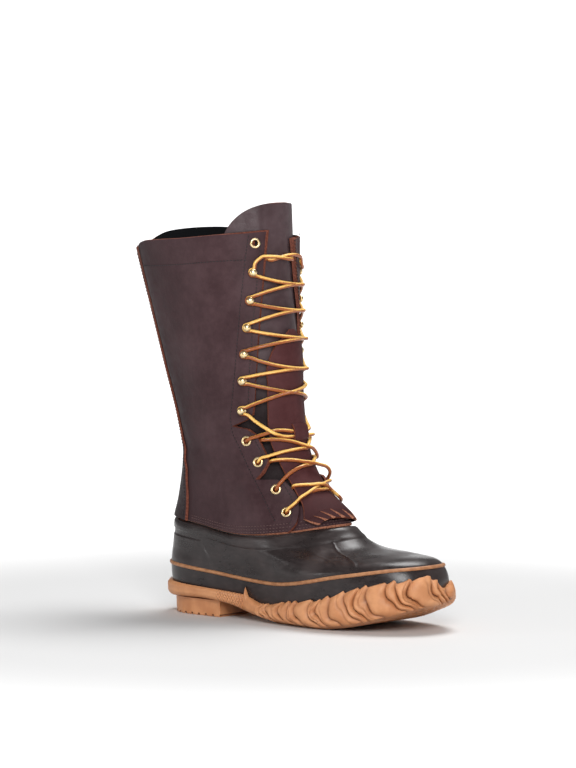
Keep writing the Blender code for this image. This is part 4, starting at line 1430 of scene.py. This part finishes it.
# Hand-poured top line of the gum above the rand's edge: share of the length, height
TOP_LINE = np.array([
    (0.00, 0.0), (0.373, 0.0), (0.389, -2.2), (0.41, -5.0), (0.436, -7.4), (0.515, -4.7), (0.585, -2.8),
    (0.628, -2.0), (0.686, -1.0), (0.739, 1.7), (0.804, 5.6), (0.849, 6.3), (0.89, 6.6), (0.939, 4.8),
    (0.959, 4.2), (0.98, 5.4), (0.993, 4.4), (0.999, 0.5), (1.0, -1.5),
])
chance = np.random.default_rng(11)
PETAL_JITTER = chance.uniform(-1, 1, (5, 120))

sole_columns = np.linspace(0, 360, SOLE_COLUMNS, endpoint=False)
sole_share = share_of_length(sole_columns)
edge = skin(sole_columns, RAND_LEVEL)
run = run_along(edge)


def level_out(around):
    """Level direction away from the foot at the rand."""
    return unit(normal(around, np.full_like(around, RAND_LEVEL)) * (1, 1, 0))


def petals(height):
    """Share of the petal passed and its number, at a share of the side's height."""
    toe = np.clip((sole_share - TOE_START) / TOE_REACH, 0, 1)
    sweep = (SWEEP_BACK + (SWEEP_TOE - SWEEP_BACK) * toe ** 2) * (1 - height) ** SWEEP_POWER
    wander = sum(reach * np.sin(run / length + turn * height) for reach, length, turn in WANDER)
    count = (run - sweep + PETAL_LEAN * math.sin(math.pi * height) + wander) / PETAL_PITCH
    count = count + UNEVEN * np.sin(UNEVEN_RATE * count)
    whole = np.clip(np.floor(count), 0, PETAL_JITTER.shape[1] - 1).astype(int)
    return count - np.floor(count), whole


print("edge of the sole is", round(run[-1]), "mm around")

# %% [markdown]
# The gum is poured by hand, so its top line wanders: it dips behind the ball of the foot, climbs
# towards the toe and ends in ragged tips, with one sharp spike at the waist. A sculpted edge would
# do, but a table of heights with the petals' tips on top can be set column by column.

# %% Outsole edges
SPIKE_SHARE, SPIKE_HALF, SPIKE_RISE = 0.377, 0.9, 8.0
# The top line drops just past the toe: angle, drop, ease, span and return in degrees
TOE_TURN, TOE_DROP, TOE_EASE, TOE_SPAN, TOE_RETURN = 179.0, 7.0, 10.0, 50.0, 40.0
# Petal tips along the top: power, share where a tip ends, its fall, jitter
TIP_POWER, TIP_END, TIP_FALL, TIP_JITTER = 1.5, 0.90, 0.14, 0.4
tread_z = np.clip(smooth_table(UNDERSIDE, sole_share), 0.0, None)
bottom_z = tread_z + np.clip(smooth_table(EDGE_RISE, sole_share), 0.0, EDGE_RISE[-1, 1])
petal_amount = soft_step(sole_share - (PETAL_START + PETAL_FULL) / 2, PETAL_FULL - PETAL_START)
spike_run = np.interp(SPIKE_SHARE, sole_share[:SOLE_COLUMNS // 2], run[:SOLE_COLUMNS // 2])
spike = np.exp(-((run - spike_run) / SPIKE_HALF) ** 2)
within, which = petals(1.0)
tip = within ** TIP_POWER * (1 - soft_step(within - TIP_END, TIP_FALL))
tip = tip * (1.0 + TIP_JITTER * PETAL_JITTER[1, which])
past_toe = soft_step(sole_columns - TOE_TURN, TOE_EASE)
past_toe = past_toe * soft_step(TOE_TURN + TOE_SPAN - sole_columns, TOE_RETURN)
top_line = table(TOP_LINE, sole_share) - TOE_DROP * past_toe
top_z = edge[:, 2] + top_line + PETAL_RISE * petal_amount * tip + SPIKE_RISE * spike
print("gum reaches", top_z.min().round(1), "to", top_z.max().round(1), "mm above the floor")

# %% [markdown]
# The side is a stack of rings from the tread up to the ragged lip. A displacement map could give
# the relief, but real rings also make the outline ragged, and every point can store painted shade
# for how deep it sits in a crease, which the gum's colour reads.

# %% Outsole side
KNURL_START, KNURL_END = 0.262, 0.372
KNURL_PITCH, KNURL_DEPTH = 3.4, 0.95
KNURL_ROWS = 2.5
KNURL_LOW, KNURL_HIGH, KNURL_FADE = 0.08, 0.97, 0.01
# Swell of a petal: lean, power, share that lies below the rand, jitter
SWELL_LEAN, SWELL_POWER, VALLEY, RELIEF_JITTER = 0.8, 0.75, 0.62, 0.2
FOLD_DEPTH = 0.22
# Fold in a petal: place, its jitter, wave, turn with the height; width, lowest draw that has a fold
FOLD_PLACE, FOLD_JITTER, FOLD_WAVE, FOLD_TURN = 0.42, 0.16, 0.12, 3.0
FOLD_WIDTH, FOLD_DRAW = 0.055, -0.4
# Petals are fullest at mid height: share of a half wave, its start, power
BODY_SHARE, BODY_START, BODY_POWER = 0.80, 0.16, 0.7
# Painted shade: how dark creases, valleys, folds, knurls and the tread's rim are painted
CREASE_SHADE, CREASE_WIDTH = 0.5, 0.06
VALLEY_SHADE, VALLEY_POWER = 0.45, 1.5
FOLD_SHADE, KNURL_SHADE, RIM_SHADE = 0.35, 0.7, 0.2
# Lip against the foxing: drop, height off it, lowest and highest level; gap below the rubber
LIP_DROP, LIP_OUT, LIP_LOW, LIP_HIGH = 0.4, 0.2, 0.05, 1.9
SOLE_GAP = 0.4
FOXING_LEVEL = 2.0
SIDE_ROWS = 52
sole_out = level_out(sole_columns)
knurled = soft_step(sole_share - KNURL_START, KNURL_FADE) * soft_step(KNURL_END - sole_share, KNURL_FADE)
tread_ring = edge - sole_out * TREAD_INSET
tread_ring[:, 2] = tread_z
# The tread's rim starts with painted shade
rings, crease_shades = [tread_ring], [np.full(SOLE_COLUMNS, RIM_SHADE)]
for height in np.linspace(0, 1, SIDE_ROWS):
    within, which = petals(height)
    swell = np.sin(math.pi * within ** SWELL_LEAN) ** SWELL_POWER
    fold_at = FOLD_PLACE + FOLD_JITTER * PETAL_JITTER[2, which] + FOLD_WAVE * math.sin(FOLD_TURN * height)
    fold = np.exp(-((within - fold_at) / FOLD_WIDTH) ** 2) * (PETAL_JITTER[4, which] > FOLD_DRAW)
    body = math.sin(math.pi * min(height * BODY_SHARE + BODY_START, 1)) ** BODY_POWER
    relief = petal_amount * PETAL_DEPTH * body * (swell - FOLD_DEPTH * fold - VALLEY)
    relief = relief * (1 + RELIEF_JITTER * PETAL_JITTER[3, which])
    knurl = np.cos(2 * math.pi * run / KNURL_PITCH) * math.cos(2 * math.pi * height * KNURL_ROWS)
    relief = relief + KNURL_DEPTH * knurl * knurled * (KNURL_LOW < height < KNURL_HIGH)
    ring = edge + sole_out * (RAND * smooth_table(SOLE_PROFILE, height) + relief)[:, None]
    ring[:, 2] = bottom_z + (top_z - bottom_z) * height
    rings.append(ring)
    # Painted shade in the creases, in the valleys between petals and in the folds
    dark = CREASE_SHADE * np.exp(-(np.minimum(within, 1 - within) / CREASE_WIDTH) ** 2)
    dark = dark + VALLEY_SHADE * (1 - swell) ** VALLEY_POWER + FOLD_SHADE * fold
    # Painted shade in the hollows of the knurl
    knurl_shade = KNURL_SHADE * knurled * np.clip(-knurl, 0, 1)
    crease_shades.append(np.clip(dark, 0, 1) * petal_amount * body + knurl_shade)
foxing_height = skin(sole_columns, FOXING_LEVEL)[:, 2] - edge[:, 2]
lip_level = np.clip(RAND_LEVEL + (top_z - edge[:, 2] - LIP_DROP) / foxing_height, LIP_LOW, LIP_HIGH)
lip = raised(sole_columns, lip_level, LIP_OUT)
floor_ring = raised(sole_columns, 0.0, SOLE_GAP) - (0, 0, SOLE_GAP)
rings += [lip, floor_ring]
crease_shades += [np.zeros(SOLE_COLUMNS)] * 2
print("petals on the outer side:", int(petals(0.5)[1][SOLE_COLUMNS // 2]))

# %% [markdown]
# The tread is hidden while the boot stands, but the piece should be whole. Straight lines from edge
# to edge make a grid, and a wavy formula pushes every second band up into the sole, as on a chain.

# %% Outsole tread
TREAD_ACROSS = 24
TREAD_DEPTH = 1.3
TREAD_PITCH = 9.0
TREAD_SWING, TREAD_WAVE = 2.2, 22.0
RIM_SHARE = 6
# Painted shade on the hidden tread
TREAD_SHADE = 0.25
count = len(sole_columns)
half_count = count // 2
pairs = np.arange(1, half_count)
left, right = rings[0][pairs], rings[0][count - pairs]
t = np.linspace(0, 1, TREAD_ACROSS + 1)[1:-1]
tread = left[:, None] + (right - left)[:, None] * t[:, None]
swing = TREAD_SWING * np.sin(2 * math.pi * tread[..., 1] / TREAD_WAVE)
wave = 0.5 + 0.5 * np.sin(2 * math.pi * tread[..., 0] / TREAD_PITCH + swing)
inset = np.clip(np.minimum(t, 1 - t) * RIM_SHARE, 0, 1)
tread[..., 2] += TREAD_DEPTH * soft_step(wave - 0.5, 0.5) * inset * (tread[..., 0] > HEEL_FRONT)
side_count = count * len(rings)
number = side_count + np.arange(tread.shape[0] * tread.shape[1]).reshape(tread.shape[:2])
number = np.hstack([pairs[:, None], number, (count - pairs)[:, None]])
cells = np.stack([number[:-1, :-1], number[:-1, 1:], number[1:, 1:], number[1:, :-1]], axis=-1)
faces = grid_cells(len(rings), count, wrap_columns=True).reshape(-1, 4).tolist()
faces += cells.reshape(-1, 4).tolist()
faces += [[0, *number[0, ::-1].tolist()], [half_count, *number[-1].tolist()]]
faces += faces_across(count, (len(rings) - 1) * count)
points = np.concatenate(rings + [tread.reshape(-1, 3)])
crease_shade = np.concatenate(crease_shades + [np.full(len(points) - side_count, TREAD_SHADE)])
sole = make("gum_sole", (points, faces, [0] * len(faces)), [gum], {"crease_shade": crease_shade})
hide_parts("outsole")

# %% [markdown]
# ## Heel and insole
# The heel is a separate gum block with grooves moulded across its tread; they show as small
# notches along its lower edge. Inside lies a felt insole.

# %% Heel block
HEEL_HEIGHT, HEEL_INSET = 15.7, 8.5
GROOVES, GROOVE_WIDTH, GROOVE_DEPTH = 8, 2.2, 2.0
# Height over a groove's floor that gets painted shade
GROOVE_SHADE = 0.3
HEEL_COLUMNS = 700
# Side of the heel: height, distance inward
HEEL_SECTION = [(0.0, 1.0), (0.5, 0.3), (1.2, 0.0), (2.1, 0.0), (2.6, 0.0), (8.0, -0.3), (HEEL_HEIGHT, -0.6)]
inner_half = np.linspace(270, 360, HEEL_COLUMNS, endpoint=False)
fine = np.concatenate([inner_half, np.linspace(0, 90, HEEL_COLUMNS + 1)])
outline = skin(fine, RAND_LEVEL) + level_out(fine) * (RAND - HEEL_INSET)
outline = outline[outline[:, 0] < HEEL_FRONT]
pitch = HEEL_FRONT / (GROOVES + 1)
groove = np.abs((outline[:, 0] / pitch + 0.5) % 1 - 0.5) * pitch < GROOVE_WIDTH / 2
groove &= outline[:, 0] > pitch / 2
inward = unit(np.gradient(outline, axis=0))[:, [1, 0, 2]] * (-1, 1, 0)
inward *= -np.sign((inward * (outline - outline.mean(axis=0))).sum(axis=1, keepdims=True))
rings, crease_shades = [], []
for height, inset in HEEL_SECTION:
    ring = outline + inward * inset
    ring[:, 2] = np.where(groove, np.maximum(height, GROOVE_DEPTH), height)
    rings.append(ring)
    # Painted shade in the grooves
    crease_shades.append(np.where(groove & (height < GROOVE_DEPTH + GROOVE_SHADE), 1.0, 0.0))
count = len(outline)
faces = grid_cells(len(rings), count, wrap_columns=True).reshape(-1, 4).tolist()
for k in range(count // 2):
    corners = [k, k + 1, count - 2 - k, count - 1 - k]
    if len(set(corners)) == 4:
        faces.append(corners[::-1])
        faces.append([(len(rings) - 1) * count + corner for corner in corners])
heel_part = (np.concatenate(rings), faces, [0] * len(faces))
heel = make("heel_block", heel_part, [gum], {"crease_shade": np.concatenate(crease_shades)})
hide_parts("heel")

# %% [markdown]
# The felt board follows the feather line inside the rubber. Its rings shrink towards the middle
# line, so the rim is rounded and the middle sinks a little.

# %% Insole
INSOLE, INSOLE_GAP = 4.0, 0.6
INSOLE_COLUMNS = 240
# Rings of the insole: share of the way to the middle line, height
INSOLE_RINGS = [(0, 0), (0, 2.6), (0.03, 3.6), (0.12, INSOLE), (0.5, 3.6), (0.97, 3.3)]
around = np.linspace(0, 360, INSOLE_COLUMNS, endpoint=False)
rim = raised(around, 0.0, -RUBBER - INSOLE_GAP)
rim[:, 2] = skin(around, 0.0)[:, 2]
spine = np.stack([rim[:, 0], np.zeros(len(rim)), rim[:, 2]], axis=1)
rings = [rim + (spine - rim) * inset + (0, 0, rise) for inset, rise in INSOLE_RINGS]
faces = grid_cells(len(rings), len(around), wrap_columns=True).reshape(-1, 4).tolist()
for start in (0, (len(rings) - 1) * INSOLE_COLUMNS):
    faces += faces_across(INSOLE_COLUMNS, start)
insole = make("felt_insole", (np.concatenate(rings), faces, [0] * len(faces)), [felt])
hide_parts("insole")

# %% [markdown]
# ## Stitching
# Seams are rows of separate stitches: each one is a little arched bead that dives into the leather
# at both ends. A seam is a short list of places, and the stitches are spaced evenly along it.

# %% One seam
STITCH_LENGTH, STITCH_PITCH = 2.4, 3.2
STITCH_RADIUS = 0.44
STITCH_SIDES = 6
# One stitch: share along it, share of the radius, height
STITCH_SHAPE = np.array([
    (-0.50, 0.15, -0.25), (-0.34, 0.8, 0.10), (0.0, 1.0, 0.22), (0.34, 0.8, 0.10), (0.50, 0.15, -0.25),
])
SEAM_POINTS = 40
LOOK_AHEAD = 0.5


def seam(places, out=0.0, on_leather=True, kind=0):
    """Stitches along (around, level) places, out from the surface; kind picks the thread."""
    places = np.asarray(places, float)
    t = np.linspace(0, len(places) - 1, SEAM_POINTS * len(places))
    fine = weights(np.arange(len(places), dtype=float), t) @ places
    lift = out + ((creased(*fine.T) + stand_off(*fine.T)) if on_leather else 0.0)
    path = raised(fine[:, 0], fine[:, 1], lift)
    run = run_along(path)
    at = np.arange(STITCH_PITCH / 2, run[-1], STITCH_PITCH)
    centre, beyond = [
        np.stack([np.interp(spots, run, path[:, k]) for k in range(3)], axis=1)
        for spots in (at, at + LOOK_AHEAD)
    ]
    ahead = unit(beyond - centre)
    out_way = normal(np.interp(at, run, fine[:, 0]), np.interp(at, run, fine[:, 1]))
    side = unit(np.cross(ahead, out_way))
    turns = np.arange(STITCH_SIDES) * 2 * math.pi / STITCH_SIDES
    along, thick, rise = STITCH_SHAPE.T
    points = (
        centre[:, None, None]
        + ahead[:, None, None] * (along * STITCH_LENGTH)[:, None, None]
        + side[:, None, None] * (thick[:, None] * STITCH_RADIUS * np.cos(turns))[..., None]
        + out_way[:, None, None] * (rise[:, None] + thick[:, None] * STITCH_RADIUS * np.sin(turns))[..., None]
    )
    faces = tube_faces(len(STITCH_SHAPE), STITCH_SIDES)
    return [(one.reshape(-1, 3), faces, [kind] * len(faces)) for one in points]


print("a stitch has", len(STITCH_SHAPE) * STITCH_SIDES, "points")

# %% [markdown]
# Seams run a few millimetres behind the edges. Most are placed from the same tables as the edges
# themselves, so a seam follows when its edge is moved. The lowest rows are sewn in brown thread.

# %% Seams
# Seam behind the fastenings: angle, level
EYESTAY = [
    (144.4, 12.94), (131.8, 11.83), (115.7, 10.5), (108.0, 9.76), (113.7, 9.15), (123.0, 8.19), (123.4, 7.45),
]
# Rows along the front edges: lowest level, highest level, angle behind the edge
FRONT_ROWS = ((9.98, 12.82, 6.5), (7.30, 8.36, 5.0), (8.66, 9.58, 5.0))
# Row under the collar: first and last angle, level at the heel line, fall for each degree
COLLAR_START, COLLAR_END, COLLAR_SEAM, COLLAR_FALL = 42, 140, 12.70, 0.0011
# Rows along the leather's lower edge: levels, first angle, angles left free at either front edge
LOW_ROWS, LOW_START, LOW_FREE, STRIP_FREE = (7.12, 7.23, 7.34), 54, 3, 2
# Row along each edge of the backstay: lowest and highest level, angle inside the edge
STRAP_LOW, STRAP_HIGH, STRAP_INSIDE = 7.15, 12.9, 4.5
FRONT_PLACES, ROW_PLACES, STRAP_PLACES = 9, 12, 14
BROWN = 1
stitches = []
for side in SIDES.values():
    stitches += seam([(on_side(angle, side), level) for angle, level in EYESTAY])
    for low, high, back in FRONT_ROWS:
        levels = np.linspace(low, high, FRONT_PLACES)
        stitches += seam([(on_side(edge_of(level, side) - back, side), level) for level in levels])
    across = np.linspace(COLLAR_START, COLLAR_END, ROW_PLACES)
    stitches += seam([(on_side(angle, side), COLLAR_SEAM - COLLAR_FALL * angle) for angle in across])
    for level in LOW_ROWS:
        across = np.linspace(LOW_START, edge_of(level, side) - LOW_FREE, ROW_PLACES)
        stitches += seam([(on_side(angle, side), level) for angle in across], kind=BROWN)
    levels = np.linspace(STRAP_LOW, STRAP_HIGH, STRAP_PLACES)
    places = [(side * (smooth_table(BACKSTAY, level) - STRAP_INSIDE), level) for level in levels]
    stitches += seam(places, BACKSTAY_TOP)
for level in LOW_ROWS:
    start = float(edge_of(level, 1)) + STRIP_FREE
    across = np.linspace(start, 360 - start, ROW_PLACES)
    stitches += seam([(angle, level) for angle in across], -STRIP_DEPTH, False, BROWN)
make("stitching", join(stitches), [thread, brown_thread])
print(len(stitches), "stitches")

# %% [markdown]
# ## Floor and light
# A white sweep keeps the picture about the boot: its floor bends up into a wall, so no corner shows.
# It could be lit until it is white, but that would wash out the boot, so it glows with distance.

# %% Floor
SWEEP_SIZE, SWEEP_RADIUS = 8.0, 1.0
WALL_HALF, WALL_TOP = 1.3, 3.0
GLOW_START, GLOW_FULL, GLOW_FAR = 0.35, 0.9, 3.0
NEAR_GLOW, FAR_GLOW = 0.6, 0.4
BEND_STEPS = 13
scene.view_settings.view_transform = "Standard"


def floor_recipe(wire):
    spot = wire.node("ShaderNodeTexCoord", {}, output="Object")
    reach = wire.node("ShaderNodeVectorMath", {0: spot}, output="Value", operation="LENGTH")
    glow = reach.span(GLOW_START, GLOW_FULL) * NEAR_GLOW + reach.span(GLOW_FULL, GLOW_FAR) * FAR_GLOW
    return {
        "Base Color": (0.70, 0.70, 0.70, 1),
        "Roughness": 0.8,
        "Normal": wire.noise(40).bump(0.02, 0.1),
        "Emission Color": glow.mix((0, 0, 0, 1), (1, 1, 1, 1)),
        "Emission Strength": 1.0,
    }


bend_start = SWEEP_SIZE - SWEEP_RADIUS
profile = [(-SWEEP_SIZE, 0.0, SWEEP_SIZE), (0.0, 0.0, SWEEP_SIZE), (bend_start, 0.0, WALL_HALF)]
for turn in np.linspace(0, math.pi / 2, BEND_STEPS)[1:]:
    reach = bend_start + SWEEP_RADIUS * math.sin(turn)
    profile.append((reach, SWEEP_RADIUS * (1 - math.cos(turn)), WALL_HALF))
profile.append((SWEEP_SIZE, WALL_TOP, WALL_HALF))
behind = -away[:2] / np.linalg.norm(away[:2])
beside = np.array([behind[1], -behind[0]])
corners = []
for reach, height, half in profile:
    corners += [[*(behind * reach + beside * width), height] for width in (-half, half)]
mesh = bpy.data.meshes.new("floor")
mesh.from_pydata(corners, [], grid_cells(len(profile), 2).reshape(-1, 4)[:, ::-1].tolist())
mesh.materials.append(finish("floor", floor_recipe))
mesh.shade_smooth()
floor = bpy.data.objects.new("floor", mesh)
scene.collection.objects.link(floor)
floor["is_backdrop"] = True
print("floor is", 2 * SWEEP_SIZE, "m wide")

# %% [markdown]
# The key panel stands near the camera, lights the leather and draws the highlights of the rubber.
# One overhead, a little behind the boot, throws the shadow towards the viewer, and a small low one
# on the left lights the heel side. They are area lights, because soft edges suit leather.

# %% Lights
# Panels: place in metres, width in metres, power in watts; and the spot that they are aimed at
PANELS = {
    "key": ((1.6, -1.7, 1.2), 0.9, 42),
    "overhead": ((0.0, 0.7, 2.2), 1.1, 44),
    "side": ((-1.1, -1.9, 0.6), 0.5, 7),
}
LIT_SPOT = Vector((0, 0, 0.2))
WORLD_LIGHT = 0.22


def panel(name, spot, size, power):
    """Soft square light aimed at the boot."""
    light = bpy.data.lights.new(name, "AREA")
    light.size = size
    light.energy = power
    lamp = bpy.data.objects.new(name, light)
    lamp.location = spot
    lamp.rotation_euler = (Vector(spot) - LIT_SPOT).to_track_quat("Z", "Y").to_euler()
    scene.collection.objects.link(lamp)


for name, look in PANELS.items():
    panel(name, *look)
world = bpy.data.worlds.new("studio")
world.use_nodes = True
world.node_tree.nodes["Background"].inputs["Color"].default_value = (1, 1, 1, 1)
world.node_tree.nodes["Background"].inputs["Strength"].default_value = WORLD_LIGHT
scene.world = world
print("lit by", list(PANELS), "and a pale world")

# %% [markdown]
# ## Measure and finish
# The dressed boot should fill the same box as the plain solids. The dressed box is measured and
# printed.

# %% Sizes
low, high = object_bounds()
print("dressed box", [round(value / MM, 1) for value in high - low], "mm")
